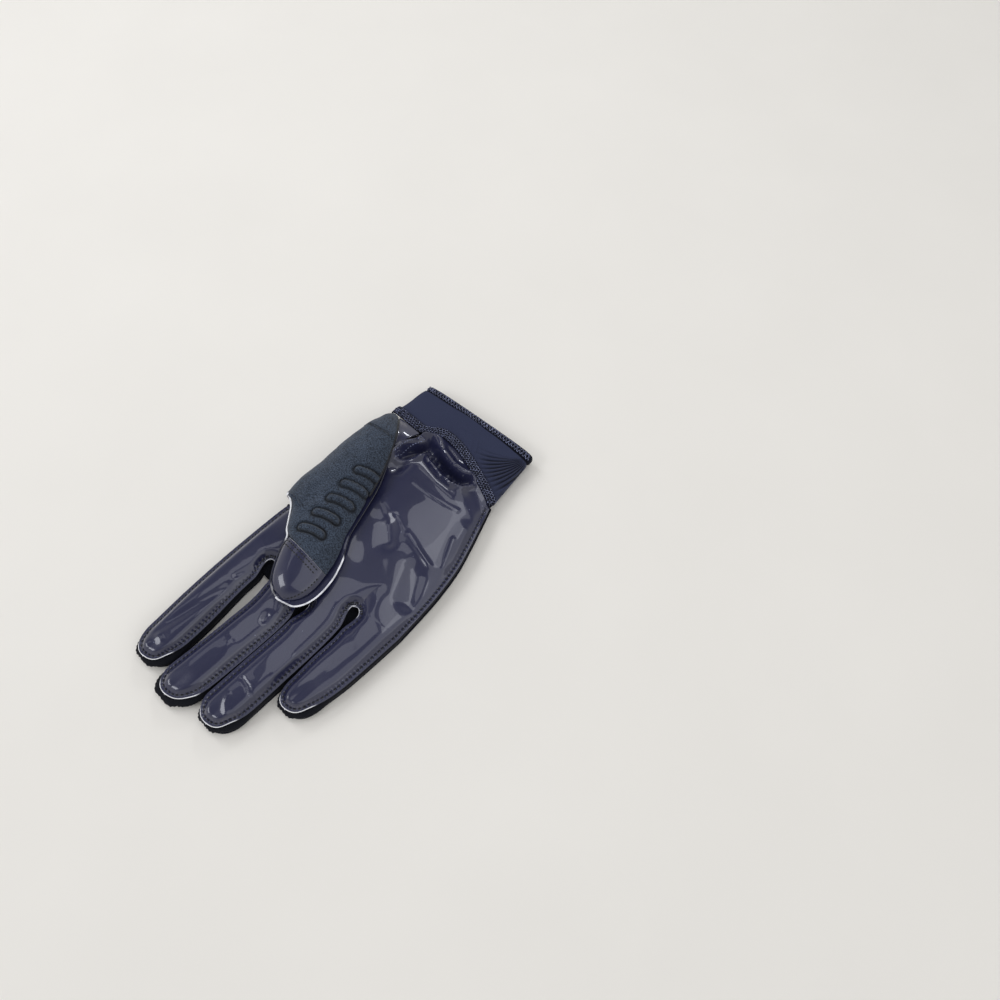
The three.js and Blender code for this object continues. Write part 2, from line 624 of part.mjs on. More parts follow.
// A thumb section: from its left foot over the crown to its right edge
function thumbArch(row) {
  const foot = thumbPoint(row.x1, row.y1, row.z1);
  const edge = thumbPoint(row.x2, row.y2, row.z2);
  const swell = (-1.4 * row.swell) / (row.x2 - row.x1);
  return archBetween(foot, edge, row.crown * THUMB_HEIGHT, { x: swell, y: 0.2 }, { x: 0.84, y: 0.8 });
}

// A section of the thumb's glossy side: it drops steeply from its seam where the seam stands well above it.
function thumbUnderArch(row) {
  const seam = thumbPoint(row.seamX, row.seamY, row.seamZ);
  const edge = thumbPoint(row.edgeX, row.edgeY, row.edgeZ);
  const start = row.seamZ - row.belly > 0.05 ? 0.02 : 0.33;
  return archBetween(seam, edge, row.belly * THUMB_HEIGHT, { x: start, y: 0.3 }, { x: 0.67, y: 0.7 });
}

function archSheet(table) {
  return new Sheet().addGrid(table.map((row) => thumbArch(row).getPoints(ARCH_COLUMNS).reverse()));
}

function underSheet(table) {
  return new Sheet().addGrid(table.map((row) => thumbUnderArch(row).getPoints(ARCH_COLUMNS)));
}

// The row that lies a seam's gap past the given one, for the next piece to start from
function startAfter(row, next, gap) {
  const distance = Math.abs(thumbAlong(row.y1) - thumbAlong(next.y1));
  const t = gap / distance;
  return Object.fromEntries(Object.keys(row).map((key) => [key, lerp(row[key], next[key], t)]));
}

function cuffTube(fromShare, toShare, outset, ahead, steps) {
  const rows = Array.from({ length: steps + 1 }, (_, r) => {
    const length = lerp(fromShare, toShare, r / steps);
    return Array.from({ length: CUFF_SIDES + 1 }, (_, i) =>
      cuffPoint((i % CUFF_SIDES) / CUFF_SIDES, length, outset, lerp(ahead[0], ahead[1], r / steps)),
    );
  });
  return new Sheet().addGrid(rows.map((row) => row.reverse()));
}

// Flat stitched band that covers the cuff seam on the palm side, from side to side
function seamBand() {
  const steps = 24;
  const lanes = [-0.5, 0, 0.5];
  const rows = lanes.map((lane) =>
    Array.from({ length: steps + 1 }, (_, i) =>
      cuffPoint(lerp(0.03, 0.48, i / steps), 0, SEAM_GAP + SEAM_BAND_WALL, lane * SEAM_BAND_LENGTH),
    ),
  );
  return new Sheet().addGrid(rows.map((row) => row.reverse()));
}

function piece(name, sheet, wall, finish) {
  const { color, roughness } = COLOURS[finish];
  const material = new THREE.MeshStandardMaterial({ color, roughness, metalness: 0 });
  const mesh = new THREE.Mesh(sheet.thicken(wall), material);
  mesh.name = name;
  return mesh;
}

const glove = new THREE.Group();
const pieces = new THREE.Group();
glove.add(pieces);

pieces.add(piece("palm_panel", palmSheet(), PALM_WALL, "gloss"));
pieces.add(piece("back_panel", backSheet(), BACK_WALL, "knit"));

["gusset_index_middle", "gusset_middle_ring", "gusset_ring_little"].forEach((name, f) => {
  pieces.add(piece(name, slitGusset(f), GUSSET_WALL, "knit"));
});
const indexSide = outerWall(0, -1, BACK_EDGE.slice(0, 3), -0.02);
const littleSide = outerWall(FINGERS.length - 1, 1, LITTLE_EDGE, LITTLE_EDGE.at(-1).along - 0.05);
pieces.add(piece("side_wall_index", gussetSheet(indexSide), GUSSET_WALL, "knit"));
pieces.add(piece("side_wall_little", gussetSheet(littleSide.reverse()), GUSSET_WALL, "knit"));

const gussetRows = THUMB_TOP.slice(0, GUSSET_ROWS + 1);
const backRows = THUMB_TOP.slice(GUSSET_ROWS + 1);
backRows.unshift(startAfter(gussetRows.at(-1), backRows[0], SEAM_GAP));
pieces.add(piece("wrist_gusset", archSheet(gussetRows), THUMB_WALL, "brushed"));
pieces.add(piece("thumb_back_panel", archSheet(backRows), THUMB_WALL, "brushed"));
pieces.add(piece("thumb_cap", archSheet(CAP_TOP), PALM_WALL, "gloss"));
pieces.add(piece("thumb_base_panel", underSheet(THUMB_BASE), PALM_WALL, "gloss"));
pieces.add(piece("thumb_palm_panel", underSheet(THUMB_UNDER), PALM_WALL, "gloss"));

const hemShare = HEM_LENGTH / CUFF_LENGTH;
pieces.add(piece("cuff_band", cuffTube(0, 1 - hemShare, 0, [CUFF_SEAM_GAP, 0], 5), CUFF_WALL, "elastic"));
pieces.add(piece("cuff_hem", cuffTube(1 - hemShare, 1, 0, [SEAM_GAP, 0], 2), HEM_WALL, "thread"));
pieces.add(piece("cuff_seam_band", seamBand(), SEAM_BAND_WALL, "thread"));

// The frame's origin is the middle of the glove's footprint, on the table.
const extent = new THREE.Box3().setFromObject(pieces);
const middle = extent.getCenter(new THREE.Vector3());
pieces.position.set(-middle.x, -middle.y, -extent.min.z);

export default glove;
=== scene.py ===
import math
from functools import partial

import bpy
import numpy as np
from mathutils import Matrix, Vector
from mathutils.bvhtree import BVHTree
from mathutils.kdtree import KDTree


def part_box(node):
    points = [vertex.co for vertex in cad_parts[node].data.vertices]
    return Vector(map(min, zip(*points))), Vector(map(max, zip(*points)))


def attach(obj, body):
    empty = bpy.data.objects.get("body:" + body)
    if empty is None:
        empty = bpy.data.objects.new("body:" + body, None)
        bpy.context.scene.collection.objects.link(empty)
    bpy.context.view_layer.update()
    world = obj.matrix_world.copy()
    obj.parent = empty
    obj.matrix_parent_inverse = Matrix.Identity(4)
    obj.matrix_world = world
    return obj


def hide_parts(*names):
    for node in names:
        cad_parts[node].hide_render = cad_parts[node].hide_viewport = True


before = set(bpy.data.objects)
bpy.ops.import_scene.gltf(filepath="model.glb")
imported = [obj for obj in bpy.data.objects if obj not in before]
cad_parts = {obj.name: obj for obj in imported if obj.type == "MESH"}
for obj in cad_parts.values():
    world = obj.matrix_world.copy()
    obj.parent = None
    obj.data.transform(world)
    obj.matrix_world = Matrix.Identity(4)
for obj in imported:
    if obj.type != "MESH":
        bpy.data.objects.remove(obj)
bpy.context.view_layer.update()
print("frame loaded:", len(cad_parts), "solids")

# All shapes are worked out in millimetres in the hand's own measure, fingers along -Y and thumb on the
# -X side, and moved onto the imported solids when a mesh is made.
hand = {
    "palmWidth": 107, "palmLength": 88, "thumbReach": 43, "fingerLength": 87.5, "fingerWidth": 24,
    "tipRound": 13, "eyeletRadius": 3, "eyeletTaper": 5, "edgeHeight": 8.5, "fingerArch": 4.2,
    "palmDome": 4.9, "thumbHeight": 26.4, "foldRise": 5, "seamGap": 0.35, "cuffSeamGap": 1.1,
}
palmWidth, palmLength = hand["palmWidth"], hand["palmLength"]
cuff = {
    "footWidth": 89.5, "mouthWidth": 82, "height": 11.5, "length": 31, "slant": 9, "hem": 5, "band": 6,
    "square": 3.4, "centre": 0.012, "bandWall": 0.9,
}

hemLow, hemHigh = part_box("cuff_hem")  # the hem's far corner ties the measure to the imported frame
hemShare = cuff["hem"] / cuff["length"]
cuffCentre = cuff["centre"] * palmWidth
shift = np.array([
    (hemLow.x + hemHigh.x) * 500 - cuffCentre * hemShare / 2,
    hemHigh.y * 1000 - palmLength - cuff["length"] - cuff["slant"] / 2,
    0,
])

# Places across are shares of the palm's width, places along are shares of its length. The fingers go from
# the index to the little finger.
roots = {"across": [-0.373, -0.161, 0.135, 0.353, 0.628], "along": [-0.27, -0.337, -0.35, -0.163, -0.114]}
fingers = [
    {"reach": 1, "tip": -0.223, "down": [0.27, 0.58, 0.88],
     "centre": [-0.262, -0.241, -0.224], "half": [0.479, 0.51, 0.484]},
    {"reach": 0.999, "tip": 0.016, "down": [0.17, 0.46, 0.86],
     "centre": [0.03, 0.036, 0.024], "half": [0.512, 0.492, 0.505]},
    {"reach": 1.015, "tip": 0.276, "down": [0.26, 0.56, 0.85],
     "centre": [0.27, 0.273, 0.275], "half": [0.479, 0.488, 0.488]},
    {"reach": 0.752, "tip": 0.495, "down": [0.27, 0.55, 0.8],
     "centre": [0.506, 0.504, 0.499], "half": [0.529, 0.504, 0.446]},
]
littleEdge = {"along": [-0.114, 0.02, 0.227, 0.455, 0.625, 0.795, 0.95],
              "across": [0.628, 0.62, 0.604, 0.57, 0.525, 0.473, 0.424]}
thumbRoot = {"along": [-0.27, -0.05, 0, 0.057, 0.142, 0.284, 0.455, 0.62, 0.75, 0.886, 1.02],
             "across": [-0.373, -0.369, -0.352, -0.3, -0.236, -0.197, -0.18, -0.156, -0.174, -0.166, -0.146]}
backEdge = {"along": [-0.27, -0.06, 0.01, 0.11, 0.59, 0.8, 1],
            "across": [-0.374, -0.378, -0.4, -0.414, -0.42, -0.408, -0.394]}
cuffSeam = {"across": [-0.42, -0.2, -0.165, -0.09, 0, 0.1, 0.28, 0.44],
            "along": [0.995, 0.998, 1.01, 1.075, 1.09, 1.075, 1.015, 0.945]}


def lerp(a, b, t):
    return a + (b - a) * t


def smooth(value, low, high):
    t = np.clip((value - low) / (high - low), 0, 1)
    return t * t * (3 - 2 * t)


def bump(distance, width):
    return np.exp(-((distance / width) ** 2))


def unit(vectors):
    return vectors / np.maximum(np.linalg.norm(vectors, axis=-1, keepdims=True), 1e-9)


# Smooth curve through a table's columns
def follow(table, key, at, column):
    keys = np.array(table[key], float)
    values = np.array(table[column], float)
    at = np.asarray(at, float)
    i = np.clip(np.searchsorted(keys, at, side="right") - 1, 0, len(keys) - 2)
    before = np.maximum(np.arange(len(keys)) - 1, 0)
    after = np.minimum(np.arange(len(keys)) + 1, len(keys) - 1)
    slope = (values[after] - values[before]) / (keys[after] - keys[before])
    span = keys[i + 1] - keys[i]
    t = np.clip((at - keys[i]) / span, 0, 1)
    rise = (2 * t**3 - 3 * t**2 + 1) * values[i] + (3 * t**2 - 2 * t**3) * values[i + 1]
    return rise + span * ((t**3 - 2 * t**2 + t) * slope[i] + (t**3 - t**2) * slope[i + 1])


def pathLength(path):
    return np.concatenate([[0], np.cumsum(np.linalg.norm(np.diff(path, axis=0), axis=1))])


def resample(path, at):
    run = pathLength(path[:, :2])
    return np.stack([np.interp(at, run, path[:, k]) for k in range(path.shape[1])], -1)


def cuffSection(turn, length, outset):
    c = np.cos(2 * np.pi * turn)
    s = np.sin(2 * np.pi * turn)
    power = 2 / cuff["square"]
    half = lerp(cuff["footWidth"], cuff["mouthWidth"], length) / 2 + outset
    tall = cuff["height"] / 2 + outset
    x = cuffCentre * (1 - length) + half * np.sign(c) * np.abs(c) ** power
    z = cuff["height"] / 2 + tall * np.sign(s) * np.abs(s) ** power
    return x, z, smooth(s, 0, 0.4)


def seamLine(x, palmSide):
    share = x / palmWidth
    straight = lerp(0.99, 0.95, smooth(share, cuffSeam["across"][0], cuffSeam["across"][-1]))
    return palmLength * lerp(straight, follow(cuffSeam, "across", share, "along"), palmSide)


def cuffPoint(turn, length, outset, ahead=0.0):
    x, z, palmSide = cuffSection(turn, length, outset)
    mouth = palmLength + cuff["length"] + cuff["slant"] * x / cuff["mouthWidth"]
    return np.stack([x, lerp(seamLine(x, palmSide), mouth, length) + ahead, z], -1)


def cuffTop(x):
    share = np.minimum(np.abs((x - cuffCentre) / (cuff["footWidth"] / 2)), 0.995)
    return cuff["height"] / 2 * (1 + (1 - share ** cuff["square"]) ** (1 / cuff["square"]))


def rootPoint(f, q):
    t = (q + 1) / 2
    x = palmWidth * lerp(roots["across"][f], roots["across"][f + 1], t)
    return x, palmLength * lerp(roots["along"][f], roots["along"][f + 1], t)


def fingerReach(f):
    return fingers[f]["reach"] * hand["fingerLength"]


def fingerTipY(f):
    return palmLength * (roots["along"][f] + roots["along"][f + 1]) / 2 - fingerReach(f)


def fingerTable(f):
    a, b = roots["across"][f:f + 2]
    centres = [(a + b) / 2, *fingers[f]["centre"], fingers[f]["tip"]]
    halves = [half * hand["fingerWidth"] for half in fingers[f]["half"]]
    return {
        "down": [0, *fingers[f]["down"], 1],
        "centre": [centre * palmWidth for centre in centres],
        "half": [(b - a) / 2 * palmWidth, *halves, halves[-1]],
    }


# From the root of a finger's flank straight down to the level of its tip
def fingerDrop(f, side):
    return rootPoint(f, side)[1] - fingerTipY(f)


# Half width of the keyhole at the foot of a slit
def eyeletHalf(depth):
    r = hand["eyeletRadius"]
    hole = np.sqrt(np.maximum(r * r - (r - np.minimum(depth, r)) ** 2, 0))
    return np.where(depth < r, hole, r * (1 - smooth(depth, r, r * hand["eyeletTaper"])))


def fingerPlan(f, s, q):
    _, rootY = rootPoint(f, q)
    tip = fingerTipY(f)
    depth = s * (rootY - tip)
    straight = 1 - hand["tipRound"] / fingerReach(f)
    intoTip = np.maximum(0, (s - straight) / (1 - straight))
    rounded = np.maximum(0, 1 - intoTip**2) ** 0.425
    hasSlit = np.where(q < 0, f > 0, f < len(fingers) - 1)
    table = fingerTable(f)
    half = follow(table, "down", s, "half") * rounded - hasSlit * eyeletHalf(depth)
    return follow(table, "down", s, "centre") + q * half, lerp(rootY, tip, s), depth


def palmPlan(f, q, v, leftEdge):
    rootX, rootY = rootPoint(f, q)
    even = (f + (q + 1) / 2) / len(fingers)
    rootLeft, rootRight = palmWidth * roots["across"][0], palmWidth * roots["across"][-1]
    palmSide = 1.0 if leftEdge is thumbRoot else 0.0
    x = rootX
    for _ in range(4):
        y = lerp(rootY, seamLine(x, palmSide) - hand["cuffSeamGap"], v)
        left = palmWidth * follow(leftEdge, "along", y / palmLength, "across")
        right = palmWidth * follow(littleEdge, "along", y / palmLength, "across")
        share = lerp((rootX - rootLeft) / (rootRight - rootLeft), even, smooth(v, 0, 0.6))
        x = np.where(v == 0, rootX, lerp(left, right, share))
    return x, y, share


# Steps down a finger in millimetres, closer at the keyhole and round the tip
def fingerSteps(f, step):
    length = fingerReach(f)
    straight = length - hand["tipRound"]
    start = np.linspace(0, 1, 16)[1:] ** 1.5 * hand["eyeletRadius"] * hand["eyeletTaper"]
    body = np.linspace(start[-1], straight, int((straight - start[-1]) / step) + 1)[1:]
    turns = np.sin(np.radians(np.linspace(0, 88, int(16 / step) + 4)[1:]))
    return np.concatenate([start, body, straight + hand["tipRound"] * turns]) / length


# Where the pale backing shows along the cut edge, fully and no longer, in millimetres up from a fingertip
# and down from a keyhole
paleEdge = {"left": (1.5, 4.5), "right": (9, 13), "keyhole": (3, 5)}


# The palm sheet's raw edge in plan: from the thumb's web round the fingers and down to the cuff. The third
# column is 1 where the pale backing shows, round the fingertips.
def rawEdge():
    points = []

    def add(x, y, pale):
        points.append(np.stack([x, y, pale * np.ones_like(x)], -1))

    web = np.linspace(0.0, roots["along"][0], 30)
    add(palmWidth * follow(thumbRoot, "along", web, "across"), palmLength * web, 0)
    for f in range(len(fingers)):
        s = fingerSteps(f, 0.6)
        for side, name, down in [(-1, "left", s), (1, "right", s[::-1])]:
            x, y, depth = fingerPlan(f, down, side * 1.0)
            atKeyhole = 0.0 if (f, side) in [(0, -1), (len(fingers) - 1, 1)] else 0.6
            pale = 1 - smooth(y - fingerTipY(f), *paleEdge[name])
            add(x, y, np.maximum(pale, atKeyhole * (1 - smooth(depth, *paleEdge["keyhole"]))))
    outer = np.linspace(roots["along"][-1], 0.93, 140)
    add(palmWidth * follow(littleEdge, "along", outer, "across"), palmLength * outer, 0)
    line = np.concatenate(points)
    return resample(line, np.arange(0, pathLength(line[:, :2])[-1], 0.25))


edgeLine = rawEdge()
edgeRun = pathLength(edgeLine[:, :2])
edgeFinder = KDTree(len(edgeLine))
for i, (x, y, _) in enumerate(edgeLine):
    edgeFinder.insert((x, y, 0), i)
edgeFinder.balance()


# Marks of the nearest stretch of raw edge: its distance, whether it is pale, and its place along the edge
def nearEdge(x, y):
    found = [edgeFinder.find((a, b, 0)) for a, b in zip(x.ravel(), y.ravel())]
    nearest = [hit[1] for hit in found]
    columns = np.stack([[hit[2] for hit in found], edgeLine[nearest, 2], edgeRun[nearest]], -1)
    return columns.reshape(*x.shape, 3)


# The coated sheet is cut back round the fingertips, most on the little finger's side, and the black fabric
# of the walls shows beyond it
tipCut = {"back": 2.4, "fade": (5, 26), "side": [2.3, 1.2, 2.0, 1.6], "sideAt": 7, "sideOver": 8}


def cutBack(f, x, y):
    across = (x - fingers[f]["tip"] * palmWidth) / fingerTable(f)["half"][-1]
    up = y - fingerTipY(f)
    back = tipCut["back"] * smooth(across, -0.6, 0.9) * (1 - smooth(up, *tipCut["fade"]))
    side = tipCut["side"][f] * smooth(across, 0.2, 1) * bump(up - tipCut["sideAt"], tipCut["sideOver"])
    return x - side, y + back


# Big buckles, close to those of the solids. Each is a line in shares of the palm's width and length, a
# width in shares of its length and a rise in shares of the tallest buckle.
folds = [
    ((-0.12, 1.0, 0.2, 0.955), 0.04, 0.5),
    ((-0.1, 0.93, 0.22, 0.9), 0.045, -0.95),
    ((-0.05, 0.845, 0.26, 0.84), 0.045, 0.55),
    ((-0.155, 1.0, -0.172, 0.7), 0.045, 0.95),
    ((-0.1, 0.97, -0.1, 0.68), 0.05, -0.5),
    ((0, 0.455, 0.47, 0.35), 0.06, 0.12),
    ((0.13, 0.34, 0.2, 0.27), 0.06, -0.24),
    ((0.41, 0.25, 0.5, 0.07), 0.06, -0.28),
    ((0.04, 0.25, 0.46, -0.02), 0.1, -0.06),
    ((0.44, 0.68, 0.52, 0.39), 0.045, 0.2),
]
# Sharper creases and dimples of the coated sheet in millimetres: a path, a width and a rise
creases = [
    ([(-19, 62), (-19, 72), (-18.6, 80), (-17, 87)], 2.4, 1.5),
    ([(-15, 88.5), (-11, 91), (-6, 89.5), (2, 86), (12, 84), (20.5, 85), (27, 88)], 2.9, 4.0),
    ([(-14.5, 67), (-11.5, 76), (-9, 84), (-1, 82), (7, 79.2), (15, 78.3), (22, 80), (26, 83)], 2.3, -3.4),
    ([(-13, 62), (-8.2, 68.4), (-2.8, 75.2), (6, 73.3), (14, 72), (22, 72.7), (28, 76.5),
     (30, 82)], 1.7, 2.3),
    ([(4, 59.5), (17, 60.5), (29, 62.5), (36, 64.5)], 1.4, 0.35),
    ([(47, 50.5), (51, 43.5), (56, 34.5)], 1.4, 0.5),
    ([(2, 39.5), (11, 37)], 1.6, 0.45),
    ([(11, 37), (22, 35), (34, 33)], 2.6, 0.25),
    ([(27, 34.2), (43, 30.6), (52, 29.6)], 1.7, 0.35),
    ([(37, 32.2), (49, 29.8)], 1.5, 0.4),
    ([(14, 31), (23, 24)], 3.2, -0.4),
    ([(50, 22), (59, 7)], 4.2, -0.9),
    ([(7, -53), (8, -55)], 2.2, -1.0),
    ([(5, -76), (5, -78)], 3.5, 0.5),
    ([(35.7, -57), (36.2, -69.5)], 1.6, 0.5),
    ([(25.2, -82.7), (31, -83), (37, -85.3)], 1.2, -0.5),
    ([(27, -93), (30, -98), (34, -101)], 1.2, 0.4),
    ([(-22, -58), (-26, -82), (-30, -104)], 3, -0.8),
    ([(-26, -101), (-23, -102)], 1.5, 0.5),
    ([(-20, -34), (-24, -50)], 1.8, -0.6),
    ([(44, -22), (46, -27)], 1.6, -0.7),
    ([(7, -41), (10, -46), (20, -46)], 1.8, 0.7),
]
# Slow unevenness of a sheet that lies loose: size and height in millimetres
sheetWaves = [{"size": 62, "height": 0.42}, {"size": 17, "height": 0.02}]


def lineGap(x, y, path):
    gap = np.full(np.shape(x), 1e9)
    for (ax, ay), (bx, by) in zip(path, path[1:]):
        runX, runY = bx - ax, by - ay
        t = np.clip(((x - ax) * runX + (y - ay) * runY) / (runX**2 + runY**2), 0, 1)
        gap = np.minimum(gap, np.hypot(x - ax - t * runX, y - ay - t * runY))
    return gap


def waves(x, y, layers, seed):
    chance = np.random.default_rng(seed)
    total = np.zeros(np.shape(x))
    for layer in layers:
        for _ in range(7):
            angle, phase = chance.uniform(0, 2 * np.pi, 2)
            pitch = layer["size"] * chance.uniform(0.7, 1.4)
            run = (x * np.cos(angle) + y * np.sin(angle)) * 2 * np.pi / pitch
            total = total + layer["height"] / math.sqrt(7) * np.sin(run + phase) * 1.4
    return total


def foldRise(x, y):
    total = 0.0
    for (x1, y1, x2, y2), width, rise in folds:
        ends = [(x1 * palmWidth, y1 * palmLength), (x2 * palmWidth, y2 * palmLength)]
        total = total + rise * hand["foldRise"] * bump(lineGap(x, y, ends), width * palmLength)
    return total


def creaseRise(x, y):
    return sum(rise * bump(lineGap(x, y, path), width) for path, width, rise in creases)


# The raw-edged flange: a thin rim, the dip of the sewing line and the start of the crown
flange = {"stitchLine": 2.1, "dip": 0.26, "dipWidth": 0.7, "flat": 1.2, "rounding": 5.5}


def palmHeight(x, y, rise, fold, gap):
    lifted = rise * (0.25 + 0.75 * smooth(gap, flange["flat"], flange["rounding"]))
    relief = (fold + creaseRise(x, y) + waves(x, y, sheetWaves, 7)) * smooth(gap, 1, 5)
    dip = flange["dip"] * bump(gap - flange["stitchLine"], flange["dipWidth"])
    return hand["edgeHeight"] + lifted + relief - dip


def fingerShare(intoFinger):
    return smooth(intoFinger, -0.22 * palmLength, 0.08 * palmLength)


def palmRise(share, y):
    side = np.abs(2 * share - 1) ** 3.2
    fall = 1 - smooth(y, -0.1 * palmLength, 0.14 * palmLength)
    return hand["palmDome"] * (1 - side * np.where(share > 0.5, 1, fall))


def fingerRise(q):
    return hand["fingerArch"] * (1 - np.abs(q) ** 3.6)


def columnSpread(count):
    t = np.linspace(-1, 1, count)
    return 0.45 * t + 0.55 * np.sin(t * np.pi / 2)


# Thickness of each cloth in millimetres
walls = {"sheet": 1.2, "gusset": 1, "web": 0.8, "sleeve": 1.5, "hem": 2.3}
# Millimetres by which the sheet of each finger leans over the slit on its left and right
overSlit = [(0, 0), (0, 0.6), (-0.7, 0), (0, 0)]
# Points across and down the palm of each finger's strip, and millimetres between the rows down its finger
palmMesh = {"columns": 37, "rows": 118, "step": 0.85}
backMesh = {"columns": 17, "rows": 50, "step": 1.8}
# The sheet climbs onto the cuff between these shares of the palm's length
cuffClimb = (0.83, 0.96)
# Where the relief fades: towards the little finger's edge, and from the palm's loose part to the seam. Then
# the millimetres down a slit over which the lean sets in, and the share of the finger where it ends.
sheetFade = {"edge": (0.93, 1), "loose": (0.8, 0.9), "seam": (0.972, 1), "lean": (10, 25), "tip": (0.88, 1)}


# The plan of a finger's strip of sheet: its part of the palm down to the web, and its finger
def stripPlan(f, mesh, leftEdge):
    q = columnSpread(mesh["columns"])[None, :]
    v = np.linspace(1, 0, mesh["rows"])[:, None] * np.ones_like(q)
    s = fingerSteps(f, mesh["step"])[:, None] * np.ones_like(q)
    palmQ, fingerQ = q * np.ones_like(v), q * np.ones_like(s)
    return palmQ, v, palmPlan(f, palmQ, v, leftEdge), fingerQ, s, fingerPlan(f, s, fingerQ)


def palmSheetGrids():
    grids = []
    for f in range(len(fingers)):
        palmQ, v, (x, y, share), q, s, (fx, fy, depth) = stripPlan(f, palmMesh, thumbRoot)
        _, rootY = rootPoint(f, palmQ)
        marks = nearEdge(x, y)
        gap = marks[..., 0]
        rise = lerp(palmRise(share, y), fingerRise(palmQ), fingerShare(rootY - y))
        fold = foldRise(x, y) * (1 - smooth(share, *sheetFade["edge"]))
        loose = creaseRise(x, y) * smooth(v, *sheetFade["loose"]) * smooth(gap, 1, 5)
        loose = loose * (1 - 0.8 * smooth(v, *sheetFade["seam"]))
        z = lerp(palmHeight(x, y, rise, fold, gap), cuffTop(x), smooth(v, *cuffClimb)) + loose
        fingerMarks = nearEdge(fx, fy)
        even = (f + (q + 1) / 2) / len(fingers)
        rise = lerp(palmRise(even, fy), fingerRise(q), fingerShare(depth))
        tipStart = 1 - 1.6 * hand["tipRound"] / fingerReach(f)
        fall = hand["fingerArch"] * 0.35 * smooth(s, tipStart, 1) * (1 - np.abs(q))
        fold = foldRise(fx, fy) * (1 - smooth(even, *sheetFade["edge"]))
        fz = palmHeight(fx, fy, rise - fall, fold, fingerMarks[..., 0])
        lean = np.where(q < 0, *overSlit[f]) * smooth(np.abs(q), 0.5, 1) * smooth(depth, *sheetFade["lean"])
        fx, fy = cutBack(f, fx + lean * (1 - smooth(s, *sheetFade["tip"])), fy)
        grid = np.concatenate([np.stack([x, y, z], -1), np.stack([fx, fy, fz], -1)])
        grids.append((grid[:, ::-1], np.concatenate([marks, fingerMarks])[:, ::-1]))
    return grids


def gridQuads(rows, columns, base=0):
    ids = base + np.arange(rows * columns).reshape(rows, columns)
    return np.stack([ids[:-1, :-1], ids[:-1, 1:], ids[1:, 1:], ids[1:, :-1]], -1).reshape(-1, 4)


# Joins grids of points that share their borders. Marks are further columns kept for each point.
def weld(grids):
    points, marks, quads, base = [], [], [], 0
    for grid, mark in grids:
        rows, columns = grid.shape[:2]
        quads.append(gridQuads(rows, columns, base))
        points.append(grid.reshape(-1, 3))
        marks.append(mark.reshape(rows * columns, -1))
        base += rows * columns
    points, marks, quads = np.concatenate(points), np.concatenate(marks), np.concatenate(quads)
    _, first, place = np.unique(np.round(points, 3), axis=0, return_index=True, return_inverse=True)
    return points[first], marks[first], place.ravel()[quads]


def surfaceNormals(points, quads):
    a, b, c, d = (points[quads[:, k]] for k in range(4))
    across = np.cross(c - a, d - b)
    sums = np.zeros_like(points)
    for k in range(4):
        np.add.at(sums, quads[:, k], across)
    return unit(sums)


def makeMesh(name, points, faces, materialIndex, marks, markNames):
    mesh = bpy.data.meshes.new(name)
    mesh.from_pydata(((points + shift) / 1000).tolist(), [], faces)
    mesh.polygons.foreach_set("material_index", np.asarray(materialIndex, np.int32))
    mesh.polygons.foreach_set("use_smooth", np.ones(len(faces), bool))
    for column, mark in enumerate(markNames):
        layer = mesh.attributes.new(mark, "FLOAT", "POINT")
        layer.data.foreach_set("value", np.asarray(marks[:, column], np.float32))
    mesh.validate()
    mesh.set_sharp_from_angle(angle=math.radians(48))
    return mesh


# A cut piece of sheet with its thickness: the face, the first bands of the cut edge and the rest have a
# material each. The profile runs down the cut edge: share of the wall, and millimetres that it stands out.
def cutSheet(name, grids, wall, markNames=(), profile=((0.1, 0.08), (0.5, 0.15), (1, 0.1)), flare=0,
             bands=2):
    points, marks, quads = weld(grids)
    normals = surfaceNormals(points, quads)
    count = len(points)
    edges = np.concatenate([quads[:, [k, (k + 1) % 4]] for k in range(4)])
    edges = edges[edges[:, 0] != edges[:, 1]]
    codes = edges[:, 0] * count + edges[:, 1]
    edges = edges[~np.isin(codes, edges[:, 1] * count + edges[:, 0])]
    outward = np.zeros_like(points)
    side = np.cross(unit(points[edges[:, 1]] - points[edges[:, 0]]), normals[edges[:, 0]])
    for k in range(2):
        np.add.at(outward, edges[:, k], side)
    outward = unit(outward)
    rim = np.unique(edges)
    place = np.zeros(count, int)
    place[rim] = np.arange(len(rim))
    inner = points - normals * wall
    spread = flare * marks[rim, 1:2] if flare else 0.0
    rings = [points[rim] - normals[rim] * wall * deep + outward[rim] * (out + spread * deep)
             for deep, out in profile]
    allPoints = np.concatenate([points, inner, *rings])
    allPoints[:, 2] = np.maximum(allPoints[:, 2], 0)
    allMarks = np.concatenate([marks, marks, *[marks[rim]] * len(rings)])
    faces = [tuple(dict.fromkeys(face)) for face in quads.tolist()]
    faces += [tuple(dict.fromkeys(face)) for face in (quads[:, ::-1] + count).tolist()]
    index = [0] * len(quads) + [2] * len(quads)
    starts = [edges, *[2 * count + k * len(rim) + place[edges] for k in range(len(rings))], edges + count]
    for k, (upper, lower) in enumerate(zip(starts, starts[1:])):
        faces += np.stack([upper[:, 1], upper[:, 0], lower[:, 0], lower[:, 1]], -1).tolist()
        index += [1 if k < bands else 2] * len(edges)
    kept = [i for i, face in enumerate(faces) if len(set(face)) > 2]
    return makeMesh(name, allPoints, [faces[i] for i in kept], [index[i] for i in kept], allMarks, markNames)


def placeObject(name, data):
    thing = bpy.data.objects.new(name, data)
    bpy.context.scene.collection.objects.link(thing)
    return thing


def addPiece(mesh, materials, slotName, *nodes):
    piece = placeObject(mesh.name, mesh)
    for material in materials:
        mesh.materials.append(material)
    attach(piece, "root")
    if nodes:
        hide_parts(*nodes)
    return piece


def hexColour(code):
    parts = [int(code[i:i + 2], 16) / 255 for i in (0, 2, 4)]
    return (*[c / 12.92 if c <= 0.04045 else ((c + 0.055) / 1.055) ** 2.4 for c in parts], 1)


